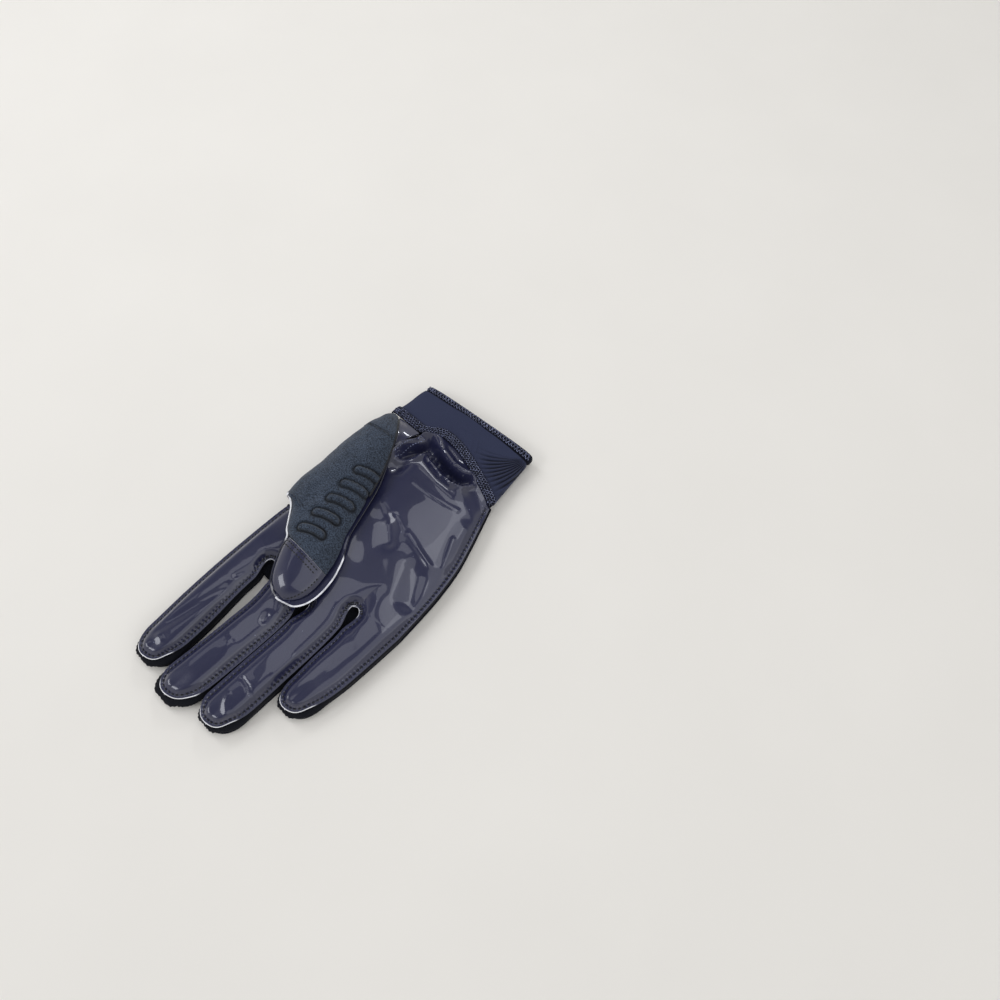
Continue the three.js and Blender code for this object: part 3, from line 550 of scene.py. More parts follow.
# Adds a node and gives one of its outputs. An input goes by name or number and is a value, the hex code of
# a colour, or the output of another node to link.
def addNode(tree, kind, inputs=None, output=0, **settings):
    node = tree.nodes.new("ShaderNode" + kind)
    for name, value in settings.items():
        setattr(node, name, value)
    for name, value in (inputs or {}).items():
        if isinstance(value, bpy.types.NodeSocket):
            tree.links.new(value, node.inputs[name])
        else:
            node.inputs[name].default_value = hexColour(value) if isinstance(value, str) else value
    return node.outputs[output] if node.outputs else None


def newMaterial(name):
    material = bpy.data.materials.new(name)
    material.use_nodes = True
    material.node_tree.nodes.clear()
    add = partial(addNode, material.node_tree)
    return material, add, add("TexCoord", output="Object")


def finishMaterial(material, surface):
    shader = addNode(material.node_tree, "BsdfPrincipled", surface)
    addNode(material.node_tree, "OutputMaterial", {"Surface": shader})
    return material


# Inputs 6 and 7 of this node are its colours, and output 2 is their mixture
def mixColours(add, share, first, second):
    return add("Mix", {0: share, 6: first, 7: second}, 2, data_type="RGBA")


# A noise of a size in millimetres, and the bump that it raises by a height in millimetres
def grain(add, place, size, height, detail=2.0, under=None, rough=0.5):
    level = add("TexNoise", {"Vector": place, "Scale": 1000 / size, "Detail": detail, "Roughness": rough})
    below = {"Normal": under} if under else {}
    return level, add("Bump", {"Height": level, "Distance": height / 1000, **below})


cutEdgeLook = {
    "fleece": "F4F4F6", "darkEdge": "1C1E30", "backing": ("B9BBC4", "E4E5EA"), "fibreSize": 0.35,
    "fibreHeight": 0.06, "wornSize": 4,
}
palmStitch = {"pitch": 2.5, "length": 1.55, "radius": 0.43, "lift": 0.14, "crowding": 0.35, "gap": 4,
              "shortest": 8}
siliconeLook = {
    "film": "22243D", "thin": "282A47", "tintSize": 22, "lint": "787D94", "lintSpacing": 7, "lintSize": 0.26,
    "roughness": 0.3, "coatRoughness": 0.03, "unevenSize": 12, "unevenHeight": 0.012, "peelSize": 1.1,
    "peelHeight": 0.0012, "puckerHeight": 0.16, "puckerWidth": 1.4, "paleWidth": 0.55, "pressedWidth": 3.4,
    "pressedGloss": 0.55,
}


# Silicone film cast on synthetic leather: a dark body under a wet-looking coat, so lamps show sharp in it.
# On the palm the film puckers at every stitch, is dulled where the presser foot ran over it and stops
# short of the cut at the fingertips.
def siliconeCoatedLeather(name, sewn=False):
    material, add, place = newMaterial(name)
    look = siliconeLook
    cloud = add("TexNoise", {"Vector": place, "Scale": 1000 / look["tintSize"], "Detail": 3.0})
    cells = add("TexVoronoi", {"Vector": place, "Scale": 1000 / look["lintSpacing"]})
    lintReach = look["lintSize"] / look["lintSpacing"]
    speck = add("Math", {0: cells, 1: lintReach}, operation="LESS_THAN")
    body = mixColours(add, speck, mixColours(add, cloud, look["film"], look["thin"]), look["lint"])
    _, slow = grain(add, place, look["unevenSize"], look["unevenHeight"], 1.0)
    _, normal = grain(add, place, look["peelSize"], look["peelHeight"], 2.0, slow)
    gloss = 1.0
    if sewn:
        gap, run, pale = (add("Attribute", output="Fac", attribute_name=mark)
                          for mark in ("edgeGap", "edgeRun", "pale"))
        fromLine = add("Math", {0: gap, 1: flange["stitchLine"]}, operation="SUBTRACT")
        distance = add("Math", {0: fromLine}, operation="ABSOLUTE")
        near, strip, dull = (
            add("MapRange", {"Value": value, "From Min": start, "From Max": end, "To Min": first,
                             "To Max": last}, interpolation_type="SMOOTHSTEP")
            for value, start, end, first, last in [
                (distance, 0.1, look["puckerWidth"], 1.0, 0.0),
                (gap, look["paleWidth"] * 0.6, look["paleWidth"], 1.0, 0.0),
                (gap, flange["stitchLine"], look["pressedWidth"], look["pressedGloss"], 1.0)])
        turns = add("Math", {0: run, 1: 2 * math.pi / palmStitch["pitch"]}, operation="MULTIPLY")
        swell = add("Math", {0: turns}, operation="COSINE")
        pucker = add("Math", {0: swell, 1: near}, operation="MULTIPLY")
        bare = add("Math", {0: strip, 1: pale}, operation="MULTIPLY")
        gloss = add("Math", {0: dull, 1: bare}, operation="SUBTRACT")
        body = mixColours(add, bare, body, cutEdgeLook["fleece"])
        puckerHeight = look["puckerHeight"] / 1000
        normal = add("Bump", {"Height": pucker, "Distance": puckerHeight, "Normal": normal})
    return finishMaterial(material, {
        "Base Color": body, "Roughness": look["roughness"], "IOR": 1.45, "Normal": normal,
        "Coat Weight": gloss, "Coat Roughness": look["coatRoughness"], "Coat IOR": 1.5,
        "Coat Normal": normal})


# Die-cut edge of the coated sheet: pale polyester fleece shows where the pale mark is set, round the tips;
# elsewhere the edge is painted dark, and on the thumb's flange that dark is painted shade
def dieCutFleece(name, whiteEverywhere=False):
    material, add, place = newMaterial(name)
    look = cutEdgeLook
    fibre, normal = grain(add, place, look["fibreSize"], look["fibreHeight"], 3.0)
    if whiteEverywhere:
        shade = mixColours(add, fibre, *look["backing"])
    else:
        pale = add("Attribute", output="Fac", attribute_name="pale")
        patchy = add("TexNoise", {"Vector": place, "Scale": 1000 / look["wornSize"], "Detail": 3.0})
        worn = add("MapRange", {"Value": patchy, "From Min": 0.35, "From Max": 0.55, "To Min": 0.7})
        share = add("Math", {0: pale, 1: worn}, operation="MULTIPLY")
        # Away from the pale stretches the edge takes the dark colour: painted shade along the thumb's flange
        shade = mixColours(add, share, look["darkEdge"], look["fleece"])
    return finishMaterial(material, {
        "Base Color": shade, "Roughness": 0.9, "Specular IOR Level": 0.25, "Sheen Weight": 0.2,
        "Sheen Roughness": 0.5, "Normal": normal})


knitLook = {"yarn": "1A1D2C", "shadow": "090A10", "wale": 1.1, "course": 0.8, "height": 0.12}
gussetLook = {"yarn": "14161F", "shadow": "07080C", "wale": 1.3, "course": 0.9, "height": 0.15}
tapeLook = {"yarn": "101324", "shadow": "05060B", "wale": 0.9, "course": 0.8, "height": 0.08}
cuffLook = {"yarn": "383D54", "shadow": "282C40", "wale": 0.9, "course": 0.7, "height": 0.05,
            "pleatHeight": 0.42, "hollow": "0B0D1A"}
loopShape = {"slant": 2.2, "depth": 0.35, "fuzz": 0.35, "fuzzSize": 0.3}


# Warp-knitted polyester and elastane: columns of slanting loops of dull yarn, drawn at about 1 mm so that
# they show. Gathered, it also has the fan of pleats that the sleeve's marks give, with painted shade in their
# hollows.
def warpKnit(name, look, gathered=False):
    material, add, place = newMaterial(name)
    x, y, _ = add("SeparateXYZ", {0: place}).node.outputs
    wale, course = (add("Math", {0: way, 1: 2 * math.pi * 1000 / pitch}, operation="MULTIPLY")
                    for way, pitch in ((x, look["wale"]), (y, look["course"])))
    columns = add("Math", {0: wale}, operation="SINE")
    slant = add("Math", {0: columns}, operation="ABSOLUTE")
    shifted = add("Math", {0: slant, 1: loopShape["slant"], 2: course}, operation="MULTIPLY_ADD")
    loops = add("Math", {0: shifted}, operation="SINE")
    depth = loopShape["depth"]
    relief = add("Math", {0: loops, 1: depth, 2: slant}, operation="MULTIPLY_ADD")
    level = add("MapRange", {"Value": relief, "From Min": -depth, "From Max": 1 + depth})
    fuzz = add("TexNoise", {"Vector": place, "Scale": 1000 / loopShape["fuzzSize"], "Detail": 3.0})
    height = add("Math", {0: fuzz, 1: loopShape["fuzz"], 2: level}, operation="MULTIPLY_ADD")
    normal = add("Bump", {"Height": height, "Distance": look["height"] / 1000})
    shade = mixColours(add, level, look["shadow"], look["yarn"])
    if gathered:
        turn, strength = (add("Attribute", output="Fac", attribute_name=mark)
                          for mark in ("fanTurn", "fanStrength"))
        ribs = add("Math", {0: turn}, operation="SINE")
        pleats = add("Math", {0: ribs, 1: strength}, operation="MULTIPLY")
        pleatHeight = look["pleatHeight"] / 1000
        normal = add("Bump", {"Height": pleats, "Distance": pleatHeight, "Normal": normal})
        # Painted shade: the colour darkens towards near-black in the pleats' hollows
        hollow = add("MapRange", {"Value": pleats, "From Min": 0.0, "From Max": -1.0})
        shade = mixColours(add, hollow, shade, look["hollow"])
    return finishMaterial(material, {
        "Base Color": shade, "Roughness": 0.85, "Specular IOR Level": 0.2, "Sheen Weight": 0.04,
        "Sheen Roughness": 0.4, "Normal": normal})


brushedLook = {"nap": "475262", "deep": "121720", "groove": "04060A", "napSize": 0.7, "napHeight": 0.22,
               "cloudSize": 14, "cloudShare": 0.12}


# Brushed stretch jersey: the raised nap scatters light, so it has no highlight, only a soft grain. The
# grooves round the flex pads are painted near-black: painted shade.
def brushedJersey(name):
    material, add, place = newMaterial(name)
    look = brushedLook
    nap, normal = grain(add, place, look["napSize"], look["napHeight"], 4.0, rough=0.7)
    cloud = add("TexNoise", {"Vector": place, "Scale": 1000 / look["cloudSize"]})
    both = add("Math", {0: cloud, 1: look["cloudShare"], 2: nap}, operation="MULTIPLY_ADD")
    level = add("MapRange", {"Value": both, "From Min": 0.43, "From Max": 0.68})
    # The groove mark paints the flex pads' grooves near-black: painted shade in the recesses
    groove = add("Attribute", output="Fac", attribute_name="groove")
    shade = mixColours(add, groove, mixColours(add, level, look["deep"], look["nap"]), look["groove"])
    return finishMaterial(material, {
        "Base Color": shade, "Roughness": 0.95, "Specular IOR Level": 0.15, "Sheen Weight": 0.15,
        "Sheen Roughness": 0.6, "Normal": normal})


threadLook = {"lit": "8F96BA", "shade": "1A1D2E", "twist": 0.7, "height": 0.04}
palmThreadLook = {**threadLook, "lit": "0D0F1B", "shade": "040509"}
thumbThreadLook = {**threadLook, "lit": "3C4757", "shade": "10141B"}


# Polyester sewing thread, twisted from fine filaments: a slight silky sheen along each stitch
def sewingThread(name, look):
    material, add, place = newMaterial(name)
    twist, normal = grain(add, place, look["twist"], look["height"])
    gleam = add("MapRange", {"Value": twist, "From Min": 0.42, "From Max": 0.66})
    return finishMaterial(material, {
        "Base Color": mixColours(add, gleam, look["shade"], look["lit"]), "Roughness": 0.5,
        "Sheen Weight": 0.3, "Sheen Roughness": 0.4, "Normal": normal})


coat = siliconeCoatedLeather("siliconeCoatedLeather")
palmCoat = siliconeCoatedLeather("siliconeCoatedPalm", sewn=True)
cutEdge = dieCutFleece("dieCutFleece")
whiteEdge = dieCutFleece("whiteFleeceBacking", whiteEverywhere=True)
backKnit = warpKnit("warpKnitBack", knitLook)
gussetKnit = warpKnit("warpKnitGusset", gussetLook)
cuffKnit = warpKnit("smoothCuffKnit", cuffLook, gathered=True)
tapeWeave = warpKnit("bindingTape", tapeLook)
jersey = brushedJersey("brushedJersey")
thread = sewingThread("polyesterThread", threadLook)
palmThread = sewingThread("palmStitchThread", palmThreadLook)
thumbThread = sewingThread("thumbStitchThread", thumbThreadLook)
print("materials made:", len(bpy.data.materials))


# Tubes along many short runs of points, joined in one mesh. Points and normals in millimetres.
def threadMesh(name, runs, radius, sides=6):
    points, faces = [], []
    turn = np.linspace(0, 2 * np.pi, sides, endpoint=False)[None, :, None]
    base = 0
    for run, normals in runs:
        along = unit(np.gradient(run, axis=0))
        side = unit(np.cross(along, normals))
        up = np.cross(side, along)
        taper = np.ones(len(run))
        taper[[0, -1]] = 0.45
        ring = np.cos(turn) * side[:, None] + np.sin(turn) * up[:, None]
        points.append((run[:, None] + radius * taper[:, None, None] * ring).reshape(-1, 3))
        ids = base + np.arange(len(run) * sides).reshape(len(run), sides)
        nextIds = np.roll(ids, -1, axis=1)
        faces += np.stack([ids[:-1], nextIds[:-1], nextIds[1:], ids[1:]], -1).reshape(-1, 4).tolist()
        faces += [ids[0, ::-1].tolist(), ids[-1].tolist()]
        base += ids.size
    points = np.concatenate(points)
    return makeMesh(name, points, faces, np.zeros(len(faces)), np.zeros((len(points), 0)), ())


surfaceFinders = {}


# Points and normals of a piece's upper side under a path in plan
def layOn(piece, path, lift=0.0):
    if piece.name not in surfaceFinders:
        corners = [v.co for v in piece.data.vertices]
        faces = [p.vertices for p in piece.data.polygons]
        surfaceFinders[piece.name] = BVHTree.FromPolygons(corners, faces)
    spots, normals = [], []
    for x, y in path:
        start = Vector(((x + shift[0]) / 1000, (y + shift[1]) / 1000, 0.2))
        spot, normal, _, _ = surfaceFinders[piece.name].ray_cast(start, Vector((0, 0, -1)))
        if spot is None:
            spots.append([np.nan] * 3)
            normals.append([0, 0, 1])
        else:
            spots.append([v * 1000 for v in spot])
            normals.append(list(normal if normal.z > 0 else -normal))
    normals = np.array(normals)
    return np.array(spots) - shift + normals * lift, normals


def sideways(path):
    along = unit(np.gradient(path, axis=0))
    return np.stack([-along[:, 1], along[:, 0]], -1)


def inset(path, distance):
    return path + distance * sideways(path)


# Stitches of a sewing line laid on a piece: each is a short thread whose ends dip into the sheet
def stitchRuns(piece, path, stitch, seed):
    chance = np.random.default_rng(seed)
    pitch = stitch["pitch"]
    runs = []
    for middle in np.arange(pitch / 2, pathLength(path)[-1] - pitch / 2, pitch):
        middle += chance.uniform(-0.06, 0.06) * pitch
        at = middle + np.linspace(-0.5, 0.5, 5) * stitch["length"]
        spots, normals = layOn(piece, resample(path, at))
        if np.isnan(spots).any() or np.ptp(spots[:, 2]) > 2.5:
            continue
        arch = stitch["lift"] * np.array([-1.2, 0.5, 1, 0.5, -1.2])
        runs.append((spots + normals * arch[:, None], normals))
    return runs


def addSheet(name, grids, wall, materials, slotName, *nodes, **cut):
    return addPiece(cutSheet(name, grids, wall, **cut), materials, slotName, *nodes)


def addThreads(name, runs, radius, material, slotName):
    return addPiece(threadMesh(name, runs, radius), [material], slotName)


palmSheet = addSheet(
    "palm_sheet", palmSheetGrids(), walls["sheet"], [palmCoat, cutEdge, gussetKnit], "silicone_coat",
    "palm_panel", markNames=("edgeGap", "pale", "edgeRun"), profile=((0.08, 0.05), (0.35, 0.1), (1, 0.1)))
print("palm sheet made")


def backGrids():
    grids = []
    for f in range(len(fingers)):
        _, _, palm, _, _, finger = stripPlan(f, backMesh, backEdge)
        x, y = (np.concatenate([palm[k], finger[k]]) for k in range(2))
        marks = nearEdge(x, y)
        gap = marks[..., 0]
        z = 0.45 * (1 - smooth(gap, 0, 3.5)) + 0.12 * bump(gap - 4.2, 0.8)
        grids.append((np.stack([x, y, z], -1), marks))
    return grids


addSheet("back_of_hand", backGrids(), walls["sheet"], [backKnit] * 3, "hand_knit", "back_panel")
print("back of the hand made")

gussetShape = {
    "inset": 1, "sideBulge": 0.1, "tipBulge": [3.0, 4.4, 2.6, 2.4], "tipBulgeFar": [0.4, 0.9, -0.6, 0],
    "ribPitch": 1.6, "ribHeight": 0.24, "low": 1.55, "underPalm": 1.55,
}
gussetProfile = {"height": [0, 0.25, 0.55, 0.82, 1], "out": [0.6, 0.97, 1, 0.55, 0]}


# Stations down one flank of a finger to its tip: place, bulge and how far it is round the tip
def fingerSide(f, side):
    s = fingerSteps(f, 0.8)
    straight = 1 - hand["tipRound"] / fingerReach(f)
    near, far = gussetShape["tipBulge"][f], gussetShape["tipBulgeFar"][f]
    x, y, _ = fingerPlan(f, s, side * 1.0)
    intoTip = smooth(s, straight, 1)
    middle = (near + far) / 2
    tipBulge = lerp(near if side < 0 else far, middle, smooth(s, 0.985, 1))
    bulge = np.append(lerp(gussetShape["sideBulge"], tipBulge, intoTip), middle)
    x = np.append(x, fingers[f]["tip"] * palmWidth - side * 0.1)
    y = np.append(y, fingerTipY(f))
    cutX, cutY = cutBack(f, x, y)
    return np.stack([cutX, cutY, bulge + np.hypot(cutX - x, cutY - y), np.append(intoTip, 1)], -1)


def edgeTop(x, y):
    foot = roots["along"][-1] * palmLength
    v = (y - foot) / (seamLine(x, 1.0) - hand["cuffSeamGap"] - foot)
    return lerp(hand["edgeHeight"], cuffTop(x), smooth(v, *cuffClimb))


def gussetGrid(stations):
    x, y, bulge, intoTip = stations.T
    out = sideways(stations[:, :2])
    share = np.linspace(0, 1, 11)[None, :]
    fullness = follow(gussetProfile, "height", share, "out")
    away = lerp(-gussetShape["inset"], bulge[:, None], fullness)
    run = pathLength(stations[:, :2])[:, None]
    rib = np.sin(2 * np.pi * run / gussetShape["ribPitch"] + 1.5 * np.sin(run / 5))
    away = away + gussetShape["ribHeight"] * rib * fullness * lerp(0.2, 1, intoTip[:, None])
    top = edgeTop(x, y)[:, None] - gussetShape["underPalm"]
    z = lerp(gussetShape["low"], top, share)
    grid = np.stack([x[:, None] + out[:, :1] * away, y[:, None] + out[:, 1:] * away, z], -1)
    return grid, np.zeros((*away.shape, 1))


# Up one side of a slit and down the other
def slitSides(f):
    return np.concatenate([fingerSide(f, 1)[::-1], fingerSide(f + 1, -1)[1:]])[::-1]


def outerWall(f, side, table, top, bulge):
    along = np.linspace(table["along"][0], top, 60)[1:]
    x = palmWidth * follow(table, "along", along, "across")
    wall = np.stack([x, palmLength * along, np.full_like(x, bulge), np.zeros_like(x)], -1)
    return np.concatenate([fingerSide(f, side)[::-1], wall])


indexSide = {key: values[:3] for key, values in backEdge.items()}
fabricWalls = {
    "gusset_index_middle": slitSides(0),
    "gusset_middle_ring": slitSides(1),
    "gusset_ring_little": slitSides(2),
    "side_wall_index": outerWall(0, -1, indexSide, -0.02, 0.3),
    "side_wall_little": outerWall(3, 1, littleEdge, 0.9, -0.5)[::-1],
}
for name, stations in fabricWalls.items():
    addSheet(name + "_cloth", [gussetGrid(stations)], walls["gusset"], [gussetKnit] * 3, "gusset_cloth", name)

# A web of the same fabric closes the foot of each slit, this many millimetres down from the keyhole
webLengths = [9, 30, 34]
webs = []
for f, length in enumerate(webLengths):
    depth = np.linspace(0, length, 24)[:, None]
    across = np.linspace(-1, 1, 9)[None, :]
    leftX, y, _ = fingerPlan(f, depth / fingerDrop(f, 1.0), 1.0)
    rightX, _, _ = fingerPlan(f + 1, depth / fingerDrop(f + 1, -1.0), -1.0)
    x = lerp(leftX - 0.5, rightX + 0.5, (across + 1) / 2)
    z = 3.2 + 1.4 * across**2 - 1.2 * smooth(depth, length - 6, length)
    webs.append((np.stack([x, y * np.ones_like(x), z], -1)[:, ::-1], x * 0))
addSheet("slit_webs", webs, walls["web"], [gussetKnit] * 3, "gusset_cloth")
print("gussets and side walls made")

# Sections of the thumb, from its left foot over the crown to its right edge. Shares of the palm's width,
# of its length or below the web line of the thumb's reach, and of the thumb's height.
thumbTop = {
    "x1": [-0.396, -0.403, -0.412, -0.418, -0.417, -0.414, -0.411, -0.407, -0.402, -0.374, -0.336, -0.285,
           -0.234, -0.19, -0.151],
    "y1": [0.945, 0.88, 0.73, 0.6, 0.43, 0.25, 0.114, 0.04, 0.014, 0.017, 0.016, -0.042, -0.174, -0.298,
           -0.358],
    "z1": [0.061] * 8 + [0.3, 0.57, 0.77, 0.795, 0.807, 0.814, 0.81],
    "swell": [0.02, 0.035, 0.05, 0.06, 0.06, 0.06, 0.055, 0.05, 0.03, 0.01] + [0] * 5,
    "crown": [0.43, 0.63, 0.85, 0.93, 0.97, 0.985, 0.99] + [1] * 6 + [0.995, 0.985],
    "x2": [-0.342, -0.282, -0.206, -0.118, -0.065, -0.015, 0.032, 0.054, 0.07, 0.084, 0.095, 0.107, 0.119,
           0.127, 0.135],
    "y2": [0.955, 0.89, 0.79, 0.602, 0.451, 0.269, 0.119, 0.068, 0.036, 0.007, -0.042, -0.116, -0.198,
           -0.279, -0.349],
    "z2": [0.42, 0.61, 0.76, 0.74, 0.712, 0.693] + [0.682] * 9,
}
capTop = {
    "x1": [-0.149, -0.134, -0.108, -0.077, -0.04, -0.002],
    "y1": [-0.369, -0.512, -0.651, -0.779, -0.884, -0.944],
    "z1": [0.8, 0.758, 0.731, 0.705, 0.675, 0.652],
    "swell": [0] * 6,
    "crown": [0.98, 0.958, 0.92, 0.864, 0.788, 0.712],
    "x2": [0.136, 0.146, 0.145, 0.131, 0.106, 0.075],
    "y2": [-0.36, -0.512, -0.663, -0.791, -0.884, -0.944],
    "z2": [0.682, 0.674, 0.659, 0.645, 0.637, 0.633],
}
thumbBase = {
    "x1": [-0.17, -0.176, -0.186], "y1": [0.958, 0.87, 0.75], "z1": [0.5, 0.63, 0.68],
    "crown": [0.475, 0.635, 0.7],
    "x2": [-0.335, -0.272, -0.195], "y2": [0.955, 0.886, 0.776], "z2": [0.42, 0.61, 0.75],
}
thumbUnder = {
    "x1": [-0.188, -0.168, -0.164, -0.178, -0.215, -0.28, -0.346, -0.369, -0.346, -0.295, -0.243, -0.199,
              -0.162, -0.147, -0.121, -0.089, -0.05, 0],
    "y1": [0.69, 0.62, 0.455, 0.284, 0.142, 0.057, 0, 0, 0, -0.064, -0.198, -0.321, -0.388, -0.523,
              -0.665, -0.798, -0.912, -0.981],
    "z1": [0.61, 0.6, 0.548, 0.545, 0.54, 0.53, 0.52, 0.66, 0.785, 0.808, 0.818, 0.823, 0.835, 0.76,
              0.705, 0.667, 0.636, 0.606],
    "crown": [0.625, 0.63] + [0.56] * 5 + [0.55] * 10 + [0.555],
    "x2": [-0.152, -0.112, -0.055, -0.003, 0.037, 0.061, 0.081, 0.098, 0.115, 0.134, 0.15, 0.164, 0.174,
              0.183, 0.183, 0.168, 0.136, 0.079],
    "y2": [0.69, 0.606, 0.46, 0.278, 0.132, 0.08, 0.045, 0.013, -0.028, -0.112, -0.2, -0.284, -0.372,
              -0.512, -0.663, -0.805, -0.916, -0.981],
    "z2": [0.66, 0.665, 0.598, 0.588, 0.582, 0.578] + [0.576] * 12,
}


# Extra rows between a table's rows
def fineRows(table, first, last, count):
    numbered = {"row": np.arange(len(next(iter(table.values())))), **table}
    at = np.linspace(first, last, count)
    return {key: follow(numbered, "row", at, key)[:, None] for key in table}


def thumbPoint(x, y, z):
    along = y * np.where(y < 0, hand["thumbReach"], palmLength)
    return np.stack([x * palmWidth, along, z * hand["thumbHeight"]], -1)


# For each row a curve from its first point to its second that passes its crown's height halfway. near and
# far are the shares across and along at which it is drawn up.
def arch(rows, near, far, columns):
    a, b = (thumbPoint(*(rows[axis + end] for axis in "xyz")) for end in "12")
    pull = (rows["crown"] * hand["thumbHeight"] - (a[..., 2] + b[..., 2]) / 8) / 0.75
    first, second = (np.stack([lerp(a[..., 0], b[..., 0], x), lerp(a[..., 1], b[..., 1], y), pull], -1)
                     for x, y in (near, far))
    t = np.linspace(0, 1, columns)[None, :, None]
    return (1 - t) ** 3 * a + 3 * t * (1 - t) ** 2 * first + 3 * t**2 * (1 - t) * second + t**3 * b


def topArch(rows, columns):
    swell = -1.4 * rows["swell"] / (rows["x2"] - rows["x1"])
    return arch(rows, (swell, 0.2), (0.84, 0.8), columns)


def underArch(rows, columns):
    start = 0.33 - 0.31 * smooth(rows["z1"] - rows["crown"], 0.03, 0.07)
    return arch(rows, (start, 0.3), (0.67, 0.7), columns)


def raised(grid, height):
    normals = surfaceNormals(grid.reshape(-1, 3), gridQuads(*grid.shape[:2])).reshape(grid.shape)
    return grid + normals * height[..., None]


# Raised flex pads across the thumb's back: slightly bent ovals, in millimetres
flexPads = {"count": 5, "first": (-14, 42), "last": (-8.5, -4), "length": 17, "width": 5.4, "tilt": 24,
            "bend": 0.035, "height": 1.1, "shoulder": 1.4, "groove": 0.95, "grooveWidth": 0.9, "shade": 0.9}


def flexPadRelief(x, y):
    pads = flexPads
    height, groove = np.zeros(np.shape(x)), np.zeros(np.shape(x))
    angle = math.radians(pads["tilt"])
    for i in range(pads["count"]):
        t = i / (pads["count"] - 1)
        fromX = x - lerp(pads["first"][0], pads["last"][0], t)
        fromY = y - lerp(pads["first"][1], pads["last"][1], t)
        u = fromX * math.cos(angle) + fromY * math.sin(angle)
        v = fromY * math.cos(angle) - fromX * math.sin(angle) + pads["bend"] * u**2 * 0.5
        run = np.maximum(np.abs(u) - (pads["length"] - pads["width"]) / 2, 0)
        gap = np.hypot(run, v) - pads["width"] / 2
        line = bump(gap, pads["grooveWidth"])
        height += pads["height"] * (1 - smooth(gap, -pads["shoulder"], 0)) - pads["groove"] * line
        # This mask carries the grooves' painted shade to the jersey's colour
        groove = np.maximum(groove, line * pads["shade"])
    return height, groove


softRim = ((0.15, 0.1), (0.6, 0.16), (1, 0.08))
clothWaves = [{"size": 22, "height": 0.3}, {"size": 8, "height": 0.08}]
capWaves = [{"size": 30, "height": 0.22}]
gussetRows = 2  # of thumbTop's rows, the first ones are the wrist gusset's


def thumbPiece(name, node, rows, slack, seed, materials, slotName, pads=(0, 0)):
    x, y = rows[..., 0], rows[..., 1]
    relief = pads[0] + waves(x, y, slack, seed)
    return addSheet(name, [(raised(rows, relief), pads[1] + x * 0)], walls["sheet"], materials, slotName,
                    node, markNames=("groove",), profile=softRim)


rows = topArch(fineRows(thumbTop, 0, gussetRows, 26), 50)[:, ::-1]
thumbPiece("wrist_gusset_cloth", "wrist_gusset", rows, clothWaves, 3, [jersey] * 3, "brushed_stretch")
rows = topArch(fineRows(thumbTop, gussetRows + 0.03, 14, 190), 76)[:, ::-1]
thumbBack = thumbPiece("thumb_back_cloth", "thumb_back_panel", rows, clothWaves, 4, [jersey] * 3,
                       "brushed_stretch", flexPadRelief(rows[..., 0], rows[..., 1]))
rows = topArch(fineRows(capTop, 0, 5, 60), 64)[:, ::-1]
thumbCap = thumbPiece("thumb_cap_sheet", "thumb_cap", rows, capWaves, 9, [coat, whiteEdge, cutEdge],
                      "silicone_coat")
rows = underArch(fineRows(thumbBase, 0, 2, 40), 40)
thumbPiece("thumb_base_sheet", "thumb_base_panel", rows, [], 0, [coat, cutEdge, cutEdge], "silicone_coat")

# The white backing shows on the thumb's left from row 6 to row 12 of thumbUnder and faintly from row 16, and
# on its right from row 8 to the tip
rows = underArch(fineRows(thumbUnder, 0, 17, 210), 60)
row = np.linspace(0, 17, 210)[:, None]
leftWhite = np.maximum(smooth(row, 6.2, 6.8) * (1 - smooth(row, 12, 12.5)), 0.35 * smooth(row, 16, 16.6))
isLeft = np.linspace(0, 1, 60)[None, :] < 0.5
white = np.where(isLeft, leftWhite, smooth(row, 7.4, 8.6))
# Where the white mark is 0 the cut edge is painted dark: painted shade along the thumb's flange
addSheet("thumb_palm_sheet", [(rows, np.stack([white * 0, white], -1))], walls["sheet"],
         [coat, cutEdge, coat], "silicone_coat", "thumb_palm_panel", markNames=("groove", "pale"),
         profile=((0.1, 0.2), (1, 0.45)), flare=0.6, bands=3)
print("thumb made")


# The last column of a ring's grid is its first again
def closed(grid):
    grid[:, -1] = grid[:, 0]
    return grid


def cuffGrid(fromShare, toShare, ahead, rows, columns=361):
    length = np.linspace(fromShare, toShare, rows)[:, None]
    turn = np.linspace(0, 1, columns)[None, :]
    push = lerp(ahead, 0, np.linspace(0, 1, rows)[:, None])
    return closed(cuffPoint(turn * np.ones_like(length), length * np.ones_like(turn), 0.0, push)[:, ::-1])


# Gathers of the elastic sleeve fan out from the hem's corner on the little finger's side. Millimetres and
# degrees.
gathers = {"corner": (40, 120), "waves": 54, "height": 0.16, "near": (2, 8), "far": (22, 33),
           "angle": (46, 66), "bend": 0.011}
cuffWaves = [{"size": 18, "height": 0.2}]
cuffCreases = [[(1, 107), (6, 101), (9, 95)], [(5, 108), (10, 102), (13, 95.5)], [(11, 106), (15, 100)]]


# The fan's turn and strength over the sleeve
def gatherFan(x, y):
    fromX, fromY = gathers["corner"][0] - x, gathers["corner"][1] - y
    away = np.hypot(fromX, fromY)
    angle = np.arctan2(fromY, fromX) + gathers["bend"] * away
    strength = smooth(away, *gathers["near"]) * (1 - smooth(away, *gathers["far"]))
    return gathers["waves"] * angle, strength * smooth(np.degrees(angle), *gathers["angle"])


def gatherRelief(x, y):
    turns, strength = gatherFan(x, y)
    small = sum(bump(lineGap(x, y, path), 0.7) for path in cuffCreases)
    return gathers["height"] * np.sin(turns) * strength + waves(x, y, cuffWaves, 12) + 0.7 * small


